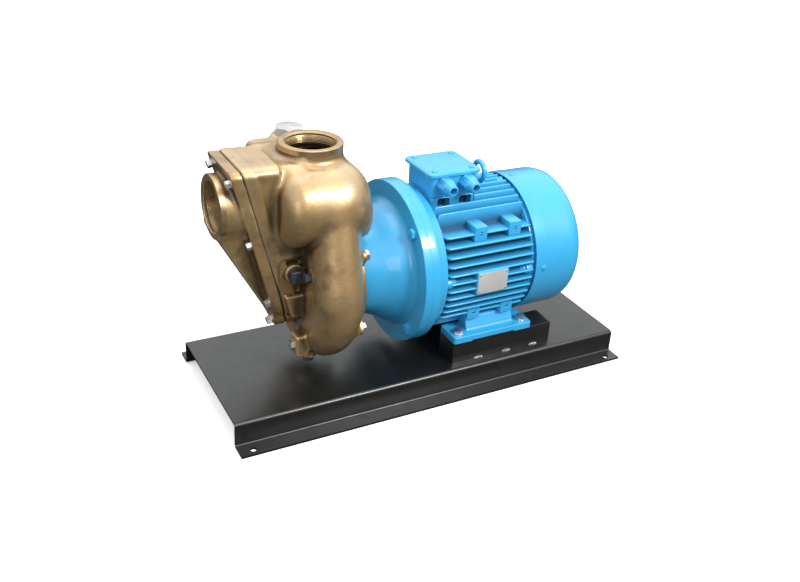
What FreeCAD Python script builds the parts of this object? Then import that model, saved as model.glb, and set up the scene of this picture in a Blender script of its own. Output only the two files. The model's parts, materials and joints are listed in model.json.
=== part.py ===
"""Marine transfer pump: self-priming bronze pump, lantern bracket, finned motor and folded base plate.

Lengths are in millimetres and angles in degrees. The origin is on the floor under the middle of the
base plate, +X runs along the shaft from the suction side to the motor fan, +Z is up.
"""
import FreeCAD, Part
import math
import os
import Sketcher

V = FreeCAD.Vector

SIZES = {
    # base plate, one folded sheet with outward lips
    "plate_length": 785.0,
    "plate_width": 284.0,
    "plate_height": 47.0,
    "plate_sheet": 4.0,
    "plate_bend": 3.0,
    "lip_width": 32.0,
    "lip_hole_diameter": 11.0,
    "lip_hole_inset": 24.3,
    "lip_hole_reach": 19.8,
    # riser bars under the motor feet
    "riser_height": 42.0,
    "riser_length": 218.0,
    "riser_width": 50.0,
    "riser_lead": 15.0,
    "riser_spread": 120.0,
    "weld_radius": 4.5,
    "weld_length": 13.0,
    # shaft line and the joint between lantern and motor
    "frame_size": 132.0,
    "flange_joint": -37.7,
    "flange_diameter": 300.0,
    "flange_bolt_circle": 265.0,
    "flange_bolt": 12.0,
    # lantern bracket
    "lantern_flange": 15.0,
    "lantern_root_radius": 109.0,
    "lantern_nose_radius": 80.0,
    "lantern_wall": 9.0,
    "lantern_screw_circle": 124.0,
    # pump casing
    "volute_station": -195.0,
    "volute_half_width": 42.0,
    "volute_radius": 147.0,
    "casing_wall": 9.0,
    "casing_bore_radius": 100.0,
    "tank_front": -298.0,
    "tank_rear": -117.0,
    "tank_half_width": 110.0,
    "tank_bottom": 85.0,
    "tank_top": 225.0,
    "tank_edge": 34.0,
    "neck_half_width": 42.0,
    "neck_bottom": -62.0,
    # ports, 3 inch pipe thread
    "port_bore": 84.8,
    "port_outer": 109.0,
    "discharge_station": -206.0,
    "discharge_height": 249.0,
    "suction_reach": -377.5,
    "suction_height": 154.5,
    # suction cover and the tilted joint behind it
    "cover_tilt": 16.0,
    "cover_joint": -341.5,
    "cover_gasket": 2.0,
    "cover_thickness": 18.5,
    "cover_top": 223.5,
    "cover_half_width": 58.0,
    "cover_corner": 12.0,
    "cover_waist_half_width": 46.0,
    "cover_waist_height": 19.0,
    "cover_toe_half_width": 27.0,
    "cover_toe_height": -50.0,
    "cover_bottom": -84.0,
    "cover_land": 11.0,
    "cover_bolt": 10.0,
    "flap_travel": 25.0,
    # plugs
    "priming_plug_flats": 46.0,
    "priming_boss_radius": 31.0,
    "side_plug_flats": 23.0,
    "vent_plug_flats": 15.0,
    "drain_plug_flats": 19.0,
    # wet end
    "impeller_diameter": 176.0,
    "impeller_vane_width": 36.0,
    "impeller_back": 6.0,
    "impeller_clearance": 0.8,
    "impeller_eye_radius": 38.0,
    "wear_plate": 10.0,
    "vane_count": 5.0,
    "vane_thickness": 6.0,
    "stub_shaft_radius": 14.0,
    "seal_shaft_radius": 17.5,
    "sleeve_radius": 27.0,
    "back_cover_thickness": 7.0,
    "back_cover_radius": 111.0,
    "back_cover_bolt_circle": 238.0,
    "back_cover_bolts": 5.0,
    "back_cover_bolt": 10.0,
    # motor
    "motor_flange": 16.0,
    "endshield_radius": 138.0,
    "fin_start": 0.0,
    "fin_end": 183.0,
    "fin_radius": 134.0,
    "fin_thickness": 4.6,
    "fin_pitch": 15.8,
    "top_fin_pitch": 14.5,
    "frame_root_radius": 111.0,
    "frame_bore_radius": 105.0,
    "stator_bore_radius": 72.0,
    "core_length": 120.0,
    "core_start": 35.0,
    "air_gap": 0.5,
    "shaft_end": -117.7,
    "shaft_radius": 19.0,
    "bearing_seat_radius": 20.0,
    "rotor_seat_radius": 24.0,
    "bearing_outer_radius": 40.0,
    "bearing_width": 18.0,
    "ball_radius": 5.6,
    "ball_count": 9.0,
    "fan_seat_radius": 15.0,
    "lug_drop": 79.5,
    "lug_face": 101.0,
    "lug_front": 76.0,
    "lug_spacing": 72.0,
    "foot_hole_front": 47.0,
    "foot_hole_spacing": 138.0,
    "foot_hole_spread": 108.0,
    "foot_plate": 14.0,
    "foot_bolt": 10.0,
    # fan cover
    "cover_front": 187.4,
    "cover_radius": 135.5,
    "cover_sheet": 2.0,
    "cover_seam": 28.0,
    "cover_cylinder": 84.6,
    "cover_length": 107.6,
    "cover_rear_radius": 112.0,
    "fan_radius": 112.0,
    "fan_blades": 8.0,
    # terminal box
    "box_station": 50.5,
    "box_length": 92.0,
    "box_half_width": 46.0,
    "box_floor": 132.0,
    "box_top": 170.0,
    "lid_height": 9.0,
    "lid_overhang": 5.0,
    "gland_spacing": 46.0,
    "gland_height": 157.0,
    "gland_bore": 13.0,
    "eye_station": 131.0,
    # rating plate
    "rating_length": 62.0,
    "rating_height": 41.0,
    "rating_station": 94.0,
    "rating_drop": -6.5,
    # clearances
    "running_clearance": 0.02,
    "seat_clearance": 0.3,
}


class Size:
    """A length or an angle: its number now, and the expression that gives it in the document."""

    def __init__(self, value, text):
        self.value = float(value)
        self.text = text

    def __add__(self, other):
        other = sized(other)
        return Size(self.value + other.value, f"({self.text} + {other.text})")

    def __radd__(self, other):
        return sized(other) + self

    def __sub__(self, other):
        other = sized(other)
        return Size(self.value - other.value, f"({self.text} - {other.text})")

    def __rsub__(self, other):
        return sized(other) - self

    def __mul__(self, other):
        other = sized(other)
        return Size(self.value * other.value, f"({self.text} * {other.text})")

    def __rmul__(self, other):
        return sized(other) * self

    def __truediv__(self, other):
        other = sized(other)
        return Size(self.value / other.value, f"({self.text} / {other.text})")

    def __neg__(self):
        return Size(-self.value, f"(0 - {self.text})")


def sized(number):
    """The number as a Size."""
    if isinstance(number, Size):
        return number
    text = repr(float(number))
    return Size(number, f"({text})" if number < 0 else text)


def cosine(angle):
    angle = sized(angle)
    return Size(math.cos(math.radians(angle.value)), f"cos({angle.text})")


def sine(angle):
    angle = sized(angle)
    return Size(math.sin(math.radians(angle.value)), f"sin({angle.text})")


def tangent(angle):
    angle = sized(angle)
    return Size(math.tan(math.radians(angle.value)), f"tan({angle.text})")


DOC = FreeCAD.newDocument("transfer_pump")
SHEET = DOC.addObject("Spreadsheet::Sheet", "sizes")
NODES = []


def fill_sheet():
    """Writes each driving size to the sheet, under its own alias."""
    for row, (alias, number) in enumerate(SIZES.items(), start=1):
        SHEET.set(f"A{row}", alias)
        SHEET.set(f"B{row}", str(number))
        SHEET.setAlias(f"B{row}", alias)
    DOC.recompute()


def size(alias):
    """A driving size by its alias."""
    return Size(SIZES[alias], f"sizes.{alias}")


# how a piece made along its own Z, or drawn on its own X and Y, is turned
TURNS = {
    "Z": FreeCAD.Rotation(),
    "-Z": FreeCAD.Rotation(V(1, 0, 0), 180),
    "X": FreeCAD.Rotation(V(0, 1, 0), 90),
    "-X": FreeCAD.Rotation(V(0, 1, 0), -90),
    "Y": FreeCAD.Rotation(V(1, 0, 0), -90),
    "-Y": FreeCAD.Rotation(V(1, 0, 0), 90),
}
PLANES = {
    "XY": FreeCAD.Rotation(),
    "XZ": FreeCAD.Rotation(V(1, 0, 0), V(0, 0, 1), V(0, -1, 0), "ZXY"),
    "YZ": FreeCAD.Rotation(V(0, 1, 0), V(0, 0, 1), V(1, 0, 0), "ZXY"),
}
ALONG = {"XY": V(0, 0, 1), "XZ": V(0, 1, 0), "YZ": V(1, 0, 0)}


def bind(thing, **values):
    """Binds properties of an object to sizes."""
    for prop, value in values.items():
        thing.setExpression(prop, sized(value).text)
    return thing


def place(thing, x=0.0, y=0.0, z=0.0, turn=None):
    """Places an object: a turn, and a base point bound to sizes."""
    if turn is not None:
        thing.Placement = FreeCAD.Placement(V(0, 0, 0), turn)
    for axis, value in zip("xyz", (x, y, z)):
        thing.setExpression(f"Placement.Base.{axis}", sized(value).text)
    return thing


def node(thing, label):
    """Marks an object as a finished sub-part and gives it its own label."""
    thing.Label = label
    NODES.append(thing)
    return thing


def box(name, x0, x1, y0, y1, z0, z1):
    """A box between two corners."""
    thing = DOC.addObject("Part::Box", name)
    bind(thing, Length=sized(x1) - x0, Width=sized(y1) - y0, Height=sized(z1) - z0)
    return place(thing, x0, y0, z0)


def rod(name, radius, length, x=0.0, y=0.0, z=0.0, along="X"):
    """A round rod that starts at a point and runs along a direction."""
    thing = DOC.addObject("Part::Cylinder", name)
    bind(thing, Radius=radius, Height=length)
    return place(thing, x, y, z, TURNS[along])


def hexagon(name, across_flats, length, x=0.0, y=0.0, z=0.0, along="X"):
    """A hexagonal bar that starts at a point and runs along a direction."""
    thing = DOC.addObject("Part::Prism", name)
    thing.Polygon = 6
    bind(thing, Circumradius=sized(across_flats) / 2 / cosine(30), Height=length)
    return place(thing, x, y, z, TURNS[along])


def taper(name, radius_1, radius_2, length, x=0.0, y=0.0, z=0.0, along="X"):
    """A cone frustum that starts at a point and runs along a direction."""
    thing = DOC.addObject("Part::Cone", name)
    bind(thing, Radius1=radius_1, Radius2=radius_2, Height=length)
    return place(thing, x, y, z, TURNS[along])


def joined(name, *things):
    """The union of some objects."""
    thing = DOC.addObject("Part::MultiFuse", name)
    thing.Shapes = list(things)
    return thing


def cut(name, base, *tools):
    """A base with the tools taken out of it."""
    thing = DOC.addObject("Part::Cut", name)
    thing.Base = base
    thing.Tool = tools[0] if len(tools) == 1 else joined(f"{name}_tools", *tools)
    return thing


def common(name, *things):
    """What two objects have in common."""
    thing = DOC.addObject("Part::MultiCommon", name)
    thing.Shapes = list(things)
    return thing


def mirrored(name, source, normal=V(0, 1, 0)):
    """The mirror image of an object in a plane through the origin."""
    thing = DOC.addObject("Part::Mirroring", name)
    thing.Source = source
    thing.Normal = normal
    return thing


def group(label, things):
    """Separate solids that share one node."""
    thing = DOC.addObject("Part::Compound", label)
    thing.Links = list(things)
    return node(thing, label)


def rounded(name, base, radius, wanted):
    """Rounds the edges of an object that a test picks."""
    DOC.recompute()
    thing = DOC.addObject("Part::Fillet", name)
    thing.Base = base
    number = sized(radius).value
    thing.Edges = [
        (index, number, number)
        for index, edge in enumerate(base.Shape.Edges, start=1)
        if wanted(edge)
    ]
    return thing


def arc_centre(start, end, radius):
    """Centre of the arc of a radius from start to end; a positive radius turns anticlockwise."""
    across = end - start
    half = across.Length / 2
    reach = math.sqrt(max(radius * radius - half * half, 0.0))
    side = V(-across.y, across.x, 0)
    side.normalize()
    if radius < 0:
        side = side * -1
    return start + across / 2 + side * reach


def draw(sketch, points):
    """Draws a closed outline. A point is (x, y), or (x, y, radius) where an arc leads to it.

    A positive radius turns anticlockwise from the point before, a negative one clockwise. Each corner
    and radius is bound to its sizes.
    """
    corners = [V(sized(p[0]).value, sized(p[1]).value, 0) for p in points]
    geometry = []
    ends = []
    for index, point in enumerate(points):
        start = corners[index - 1]
        end = corners[index]
        if len(point) == 2:
            geometry.append(Part.LineSegment(start, end))
            ends.append((1, 2))
            continue
        radius = sized(point[2]).value
        centre = arc_centre(start, end, radius)
        circle = Part.Circle(centre, V(0, 0, 1), abs(radius))
        first = math.atan2(start.y - centre.y, start.x - centre.x)
        last = math.atan2(end.y - centre.y, end.x - centre.x)
        if radius > 0:
            geometry.append(Part.ArcOfCircle(circle, first, last))
            ends.append((1, 2))
        else:
            geometry.append(Part.ArcOfCircle(circle, last, first))
            ends.append((2, 1))
    offset = sketch.GeometryCount
    sketch.addGeometry(geometry, False)
    for index, point in enumerate(points):
        follower = (index + 1) % len(points)
        sketch.addConstraint(
            Sketcher.Constraint("Coincident", offset + index, ends[index][1], offset + follower, ends[follower][0])
        )
        pin_point(sketch, offset + index, ends[index][1], point[0], point[1])
        if len(point) == 3:
            radius = sized(point[2])
            radius = radius if radius.value > 0 else -radius
            row = sketch.addConstraint(Sketcher.Constraint("Radius", offset + index, radius.value))
            sketch.setExpression(f"Constraints[{row}]", radius.text)


def pin_point(sketch, element, end, x, y):
    """Fixes one point of a sketch at coordinates bound to sizes."""
    for kind, value, axis in (("DistanceX", x, -2), ("DistanceY", y, -1)):
        value = sized(value)
        if value.text == "0.0":
            sketch.addConstraint(Sketcher.Constraint("PointOnObject", element, end, axis))
            continue
        row = sketch.addConstraint(Sketcher.Constraint(kind, -1, 1, element, end, value.value))
        sketch.setExpression(f"Constraints[{row}]", value.text)


def draw_circle(sketch, x, y, radius):
    """Draws a circle whose centre and radius are bound to sizes."""
    x, y, radius = sized(x), sized(y), sized(radius)
    circle = Part.Circle(V(x.value, y.value, 0), V(0, 0, 1), radius.value)
    element = sketch.addGeometry(circle, False)
    pin_point(sketch, element, 3, x, y)
    row = sketch.addConstraint(Sketcher.Constraint("Radius", element, radius.value))
    sketch.setExpression(f"Constraints[{row}]", radius.text)


def profile(name, plane, points, base=0.0):
    """A sketch of a closed outline on a main plane, moved along its normal to a base."""
    sketch = DOC.addObject("Sketcher::SketchObject", name)
    draw(sketch, points)
    normal = ALONG[plane]
    return place(sketch, normal.x * sized(base), normal.y * sized(base), normal.z * sized(base), PLANES[plane])


def prism(name, plane, points, start, end):
    """An outline drawn on a plane and carried along the plane's normal from start to end."""
    thing = DOC.addObject("Part::Extrusion", name)
    thing.Base = profile(f"{name}_outline", plane, points, start)
    thing.DirMode = "Custom"
    thing.Dir = ALONG[plane]
    thing.Solid = True
    return bind(thing, LengthFwd=sized(end) - start)


def turned(name, points, axis_height=None):
    """A profile of (station, radius) turned about the shaft line, lifted to the shaft's height."""
    thing = DOC.addObject("Part::Revolution", name)
    thing.Source = profile(f"{name}_profile", "XZ", points)
    thing.Axis = V(1, 0, 0)
    thing.Angle = 360
    thing.Solid = True
    return place(thing, 0, 0, SHAFT if axis_height is None else axis_height)


def origin_plane(body, role):
    """One of a body's own origin planes or axes."""
    for feature in body.Origin.OriginFeatures:
        if feature.Role == role:
            return feature
    raise ValueError(f"{body.Label} has no {role}")


def new_body(label):
    """A body whose label is its node's name."""
    return node(DOC.addObject("PartDesign::Body", label), label)


def sketch_on(body, role, offset=0.0):
    """An empty sketch on one of a body's origin planes, moved along its normal."""
    sketch = body.newObject("Sketcher::SketchObject", f"{body.Name}_sketch")
    sketch.AttachmentSupport = [(origin_plane(body, role), "")]
    sketch.MapMode = "FlatFace"
    sketch.setExpression("AttachmentOffset.Base.z", sized(offset).text)
    return sketch


def pad(body, sketch, length, reverse=False):
    """A pad of a sketch along its normal."""
    feature = body.newObject("PartDesign::Pad", f"{body.Name}_pad")
    feature.Profile = sketch
    feature.Reversed = reverse
    bind(feature, Length=length)
    sketch.Visibility = False
    return feature


def pocket(body, sketch, length, reverse=False):
    """A pocket of a sketch against its normal, or along it when reversed; it must remove metal."""
    DOC.recompute()
    before = body.Shape.Volume
    feature = body.newObject("PartDesign::Pocket", f"{body.Name}_pocket")
    feature.Profile = sketch
    feature.Reversed = reverse
    bind(feature, Length=length)
    DOC.recompute()
    if body.Shape.Volume >= before:
        raise ValueError(f"a pocket of {body.Label} removes nothing")
    return feature


def revolution(body, points):
    """A profile of (station, radius) on the body's XZ plane, turned about its X axis."""
    sketch = sketch_on(body, "XZ_Plane")
    draw(sketch, points)
    feature = body.newObject("PartDesign::Revolution", f"{body.Name}_revolution")
    feature.Profile = sketch
    feature.ReferenceAxis = (origin_plane(body, "X_Axis"), [""])
    feature.Angle = 360
    return feature


def polar(body, feature, count):
    """Copies of a feature about the body's X axis."""
    DOC.recompute()
    pattern = body.newObject("PartDesign::PolarPattern", f"{body.Name}_pattern")
    pattern.Originals = [feature]
    pattern.Axis = (origin_plane(body, "X_Axis"), [""])
    pattern.Angle = 360
    bind(pattern, Occurrences=count)
    body.Tip = pattern
    return pattern


def bevel(body, width, wanted):
    """Bevels the edges of a body's last feature that a test picks."""
    DOC.recompute()
    tip = body.Tip
    names = [f"Edge{i}" for i, edge in enumerate(tip.Shape.Edges, start=1) if wanted(edge)]
    feature = body.newObject("PartDesign::Chamfer", f"{body.Name}_bevel")
    feature.Base = (tip, names)
    return bind(feature, Size=width)


def around(circle_diameter, angle):
    """Offsets (y, z) of a point on a bolt circle, the angle measured from +Y towards +Z."""
    radius = sized(circle_diameter) / 2
    return radius * cosine(angle), radius * sine(angle)


def bolt(name, thread, grip, x, y, z, along, back):
    """A hexagon bolt: its head stands on a seat, and its shank runs the other way through the grip."""
    thread = sized(thread)
    head = hexagon(f"{name}_head", thread * 1.7, thread * 0.65, x, y, z, along)
    shank = rod(f"{name}_shank", thread / 2, grip, x, y, z, back)
    return joined(name, head, shank)


fill_sheet()
SHAFT = size("plate_height") + size("riser_height") + size("frame_size")
GAP = size("seat_clearance")
PLATE_TOP = size("plate_height")
RISER_TOP = PLATE_TOP + size("riser_height")


def build_base():
    """The folded base plate, its two riser bars and their weld beads."""
    half = size("plate_width") / 2
    lip = half + size("lip_width")
    inner = size("plate_bend")
    sheet = size("plate_sheet")
    outer = inner + sheet
    top = size("plate_height")
    plate = new_body("base_plate")
    section = sketch_on(plate, "YZ_Plane", -(size("plate_length") / 2))
    draw(section, [
        (-lip, 0),
        (-(half + inner), 0),
        (-(half - sheet), outer, outer),
        (-(half - sheet), top - outer),
        (-(half - outer), top - sheet, -inner),
        (half - outer, top - sheet),
        (half - sheet, top - outer, -inner),
        (half - sheet, outer),
        (half + inner, 0, outer),
        (lip, 0),
        (lip, sheet),
        (half + inner, sheet),
        (half, outer, -inner),
        (half, top - outer),
        (half - outer, top, outer),
        (-(half - outer), top),
        (-half, top - outer, outer),
        (-half, outer),
        (-(half + inner), sheet, -inner),
        (-lip, sheet),
    ])
    pad(plate, section, size("plate_length"))
    holes = sketch_on(plate, "XY_Plane", sheet * 2)
    across = size("plate_length") / 2 - size("lip_hole_inset")
    reach = half + size("lip_hole_reach")
    for x in (-across, across):
        for y in (-reach, reach):
            draw_circle(holes, x, y, size("lip_hole_diameter") / 2)
    pocket(plate, holes, sheet * 2 + 1)

    start = size("foot_hole_front") - size("riser_lead")
    end = start + size("riser_length")
    spread = size("riser_spread")
    bar = box("riser_bar", start, end, -spread, size("riser_width") - spread, PLATE_TOP, RISER_TOP)
    bores = [
        rod(f"riser_bore_{i}", size("foot_bolt") / 2 + 0.05, 30, x, -size("foot_hole_spread"),
            RISER_TOP - 29, "Z")
        for i, x in enumerate(foot_hole_stations())
    ]
    dowel = rod("riser_dowel", 3, 12, end - 12, size("riser_width") / 2 - spread, RISER_TOP - 11, "Z")
    pin_hole = rod("riser_pin_hole", 2.5, 13, end - 20, -spread - 1, RISER_TOP - 12, "Y")
    right = node(cut("riser_block_right", bar, *bores, dowel, pin_hole), "riser_block_right")
    node(mirrored("riser_block_left", right), "riser_block_left")

    beads = []
    for index, share in enumerate((0.22, 0.51, 0.79)):
        bead = DOC.addObject("Part::Cylinder", f"weld_bead_{index}")
        bind(bead, Radius=size("weld_radius"), Height=size("weld_length"), Angle=90)
        turn = FreeCAD.Rotation(V(0, 0, 1), V(0, -1, 0), V(1, 0, 0), "ZXY")
        station = start + size("riser_length") * share
        beads.append(place(bead, station, -spread, PLATE_TOP, turn))
        beads.append(mirrored(f"weld_bead_{index}_left", bead))
    group("weld_beads", beads)


def foot_hole_stations():
    """Stations of the two bolts in each motor foot."""
    front = size("foot_hole_front")
    return (front, front + size("foot_hole_spacing"))


def joint_station(height, offset=0.0):
    """Station of the tilted casing joint at a height above the shaft, moved along X by an offset."""
    return size("cover_joint") + (size("cover_top") - height) * tangent(size("cover_tilt")) + offset


def joint_slab(name, near, far):
    """Everything between two planes parallel to the casing joint, near and far measured along X."""
    low = sized(-170)
    high = sized(280)
    return prism(name, "XZ", [
        (joint_station(low, near), SHAFT + low),
        (joint_station(low, far), SHAFT + low),
        (joint_station(high, far), SHAFT + high),
        (joint_station(high, near), SHAFT + high),
    ], -170, 170)


def cover_outline(inset=0.0):
    """Outline of the suction cover, drawn in by an inset: wide at the port, a round toe below."""
    inset = sized(inset)
    toe = size("cover_toe_half_width") - inset
    toe_height = SHAFT + size("cover_bottom") + size("cover_toe_half_width")
    waist = size("cover_waist_half_width") - inset
    waist_height = SHAFT + size("cover_waist_height")
    wide = size("cover_half_width") - inset
    top = SHAFT + size("cover_top") - inset
    corner = size("cover_corner") - inset
    flank = sized(160)
    return [
        (-toe, toe_height, flank),
        (0, SHAFT + size("cover_bottom") + inset, toe),
        (toe, toe_height, toe),
        (waist, waist_height, flank),
        (wide, top - corner),
        (wide - corner, top, corner),
        (-(wide - corner), top),
        (-wide, top - corner, corner),
        (-waist, waist_height),
    ]


def lean(thing, outward, x, y, z):
    """Turns a piece made along Z to the normal of the tilted joint, and places it."""
    tilt = size("cover_tilt")
    angle = 90 + tilt if outward else 90 - tilt
    axis = V(0, -1, 0) if outward else V(0, 1, 0)
    thing.Placement = FreeCAD.Placement(V(0, 0, 0), FreeCAD.Rotation(axis, angle.value))
    thing.setExpression("Placement.Rotation.Angle", angle.text)
    return place(thing, x, y, z)


def lean_box(name, near, far, y0, y1, low, high):
    """A box in the tilted frame of the joint: depth inwards from the port centre, Y, and height up."""
    tilt = size("cover_tilt")
    x, z = cover_frame(near, low)
    thing = DOC.addObject("Part::Box", name)
    bind(thing, Length=sized(far) - near, Width=sized(y1) - y0, Height=sized(high) - low)
    thing.Placement = FreeCAD.Placement(V(0, 0, 0), FreeCAD.Rotation(V(0, -1, 0), tilt.value))
    thing.setExpression("Placement.Rotation.Angle", tilt.text)
    return place(thing, x, y0, z)


def cover_frame(depth, height):
    """Station and height of a point given inwards from the cover's inner face and up from the port."""
    tilt = size("cover_tilt")
    depth = sized(depth)
    height = sized(height)
    port = size("suction_height")
    x = joint_station(port, -size("cover_gasket")) + depth * cosine(tilt) - height * sine(tilt)
    z = SHAFT + port + depth * sine(tilt) + height * cosine(tilt)
    return x, z


def cover_seat(height):
    """Station of the suction cover's front face at a height above the shaft."""
    return joint_station(height, -(size("cover_gasket") + size("cover_thickness")))


def cover_bolt_points():
    """Across and up positions of the seven bolts where they meet the front of the suction cover."""
    top = size("cover_top") - 13.0
    return [
        (size("cover_half_width") - 9.0, top),
        (-(size("cover_half_width") - 9.0), top),
        (size("cover_waist_half_width") - 2.0, size("suction_height") - 57.0),
        (-(size("cover_waist_half_width") - 2.0), size("suction_height") - 57.0),
        (size("cover_toe_half_width") + 6.5, size("cover_bottom") + 62.0),
        (-(size("cover_toe_half_width") + 6.5), size("cover_bottom") + 62.0),
        (sized(0), size("cover_bottom") + 9.0),
    ]


def build_casing():
    """The bronze casing: tank, volute, neck, suction chamber and their bosses, with all passages."""
    wall = size("casing_wall")
    middle = size("volute_station")
    half = size("volute_half_width")
    front = middle - half
    back = middle + half
    rim = size("volute_radius") - half
    disc = turned("casing_volute", [
        (front, 0), (front, rim), (middle, rim + half, -half), (back, rim, -half), (back, 0),
    ])
    tank = rounded(
        "casing_tank", prism("casing_tank_bar", "YZ", stadium(0), size("tank_front"), size("tank_rear")),
        size("tank_edge"), lambda edge: end_edge(edge, size("tank_front"), size("tank_rear")))
    arch = size("back_cover_radius") + 14
    partition = front - 3
    rear_space = size("tank_rear") - wall
    space = rounded(
        "chamber_space", prism("chamber_space_bar", "YZ", stadium(wall), partition, rear_space),
        size("tank_edge") - wall, lambda edge: end_edge(edge, rear_space, rear_space))
    arch_wall = rod("casing_arch_wall", arch + wall + 5, 60, back - wall - 3, 0, SHAFT, "X")
    tank_middle = SHAFT + (size("tank_top") + size("tank_bottom")) / 2
    cheeks = prism("casing_cheeks", "YZ", [
        (-(rim + 23.5), SHAFT + 33),
        (-(rim - 15), SHAFT),
        (rim - 15, SHAFT),
        (rim + 23.5, SHAFT + 33),
        (size("tank_half_width") - 15, tank_middle + 7),
        (-(size("tank_half_width") - 15), tank_middle + 7),
    ], middle - 27, middle + 27)
    shell = cut("casing_tank_shell", joined("casing_tank_and_cheeks", tank, cheeks),
                cut("chamber_void", space, arch_wall))

    chamber = prism("casing_chamber", "YZ", cover_outline(), size("cover_joint") - 10, front - 46)
    flange = common("casing_flange", prism("casing_flange_bar", "YZ", cover_outline(), -350, front + 4),
                    joint_slab("casing_flange_slab", -1, 18))
    neck_wide = size("neck_half_width")
    neck_low = SHAFT + size("neck_bottom")
    neck = prism("casing_neck", "YZ", [
        (-(neck_wide - 28), neck_low, 28),
        (neck_wide - 28, neck_low),
        (neck_wide, neck_low + 28, 28),
        (neck_wide, SHAFT + 109),
        (-neck_wide, SHAFT + 109),
        (-neck_wide, neck_low + 28),
    ], -300, front + 3)
    port = size("discharge_station")
    tank_top = SHAFT + size("tank_top")
    port_radius = size("port_outer") / 2
    discharge = lathe("casing_discharge", [
        (0, tank_top - 10),
        (port_radius + 10, tank_top - 10),
        (port_radius + 10, tank_top - 2),
        (port_radius, tank_top + 8, -10),
        (port_radius, SHAFT + size("discharge_height")),
        (0, SHAFT + size("discharge_height")),
    ], port, 0)
    boss = size("priming_boss_radius")
    priming = rod("casing_priming_boss", boss, 41, -212, 80, SHAFT + 194, "Z")
    side = rod("casing_side_boss", 17, 20, -254, -55, SHAFT + 36, "Y")
    lug = box("casing_front_lug", front - 19, front + 4, -70, -40, SHAFT - 121, SHAFT - 81)
    drain = rod("casing_drain_boss", 16, 40, -212, -14, SHAFT - 155, "Z")
    ears = []
    for index, (y, z) in enumerate(back_bolt_points()):
        ears.append(rod(f"casing_ear_{index}", 12, 22, back - 22, y, SHAFT + z, "X"))
    blank = joined("casing_blank", shell, disc, chamber, flange, neck, discharge, priming, side, lug,
                   drain, *ears)

    inner = half - wall
    opening = size("casing_bore_radius")
    volute_space = turned("volute_space", [
        (middle - inner, 0),
        (middle - inner, rim),
        (middle, rim + inner, -inner),
        (middle + inner, rim, -inner),
        (middle + inner, opening),
        (back + 2, opening),
        (back + 2, 0),
    ])
    arch_space = rod("casing_arch", arch, 60, back, 0, SHAFT, "X")
    tools = [
        joint_slab("casing_front_space", -120, 0),
        volute_space,
        arch_space,
        suction_space("casing_suction_space", partition - 8),
        rod("casing_eye", size("impeller_eye_radius") - 2, 24, partition - 9, 0, SHAFT, "X"),
        rod("casing_discharge_bore", size("port_bore") / 2, 90, port, 0, tank_top - 12, "Z"),
        rod("casing_priming_hole", 15, 60, -212, 80, SHAFT + 180, "Z"),
        rod("casing_drain_hole", 6, 40, -212, -14, SHAFT - 160, "Z"),
        rod("casing_side_hole", 8, 30, -254, -57, SHAFT + 36, "Y"),
        rod("casing_vent_hole", 4, 8, front - 1, -84, SHAFT + 41, "X"),
        rod("casing_lug_hole", 5.05, 22, front - 20, -52, SHAFT - 103, "X"),
        box("casing_throat", middle - 19, middle + 19, -25, 25, SHAFT + 125, SHAFT + 162),
    ]
    for index, (y, z) in enumerate(back_bolt_points()):
        tools.append(rod(f"casing_ear_hole_{index}", size("back_cover_bolt") / 2 + 0.05, 10,
                         back - 9, y, SHAFT + z, "X"))
        tools.append(rod(f"casing_scallop_{index}", 12.6, 60, back, y, SHAFT + z, "X"))
    for index, (y, z) in enumerate(cover_bolt_points()):
        hole = DOC.addObject("Part::Cylinder", f"casing_cover_hole_{index}")
        bind(hole, Radius=size("cover_bolt") / 2 - 0.95, Height=36)
        tools.append(lean(hole, False, cover_seat(z), y, SHAFT + z))
    casing = cut("pump_casing", blank, *tools)
    node(casing, "pump_casing")


def back_bolt_points():
    """Offsets (y, z) of the bolts of the back cover, evenly spaced from the far side."""
    count = int(SIZES["back_cover_bolts"])
    return [
        around(size("back_cover_bolt_circle"), sized(360 * index) / size("back_cover_bolts"))
        for index in range(count)
    ]


def stadium(inset):
    """Section of the tank across the shaft line: two round ends joined by flats, drawn in by an inset."""
    inset = sized(inset)
    low = SHAFT + size("tank_bottom") + inset
    high = SHAFT + size("tank_top") - inset
    radius = (size("tank_top") - size("tank_bottom")) / 2 - inset
    flat = size("tank_half_width") - (size("tank_top") - size("tank_bottom")) / 2
    centre = SHAFT + (size("tank_top") + size("tank_bottom")) / 2
    return [
        (-flat, low, radius),
        (flat, low),
        (flat + radius, centre, radius),
        (flat, high, radius),
        (-flat, high),
        (-(flat + radius), centre, radius),
    ]


def end_edge(edge, *stations):
    """True for an edge that lies wholly in a plane across the shaft at one of the stations."""
    return any(
        abs(edge.BoundBox.XMin - sized(x).value) < 0.01 and abs(edge.BoundBox.XMax - sized(x).value) < 0.01
        for x in stations
    )


def lathe(name, points, x, y):
    """A profile of (radius, height) turned about an upright axis."""
    thing = DOC.addObject("Part::Revolution", name)
    thing.Source = profile(f"{name}_profile", "XZ", points)
    thing.Axis = V(0, 0, 1)
    thing.Angle = 360
    thing.Solid = True
    return place(thing, x, y, 0)


def suction_space(name, end):
    """The hollow behind the suction cover, with solid pillars left round the cover bolts."""
    bar = prism(f"{name}_bar", "YZ", cover_outline(size("cover_land") - 4), -352, end)
    pillars = []
    for index, (y, z) in enumerate(cover_bolt_points()):
        pillar = DOC.addObject("Part::Cylinder", f"{name}_pillar_{index}")
        bind(pillar, Radius=9, Height=42)
        pillars.append(lean(pillar, False, cover_seat(z), y, SHAFT + z))
    return cut(name, bar, *pillars)


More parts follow.
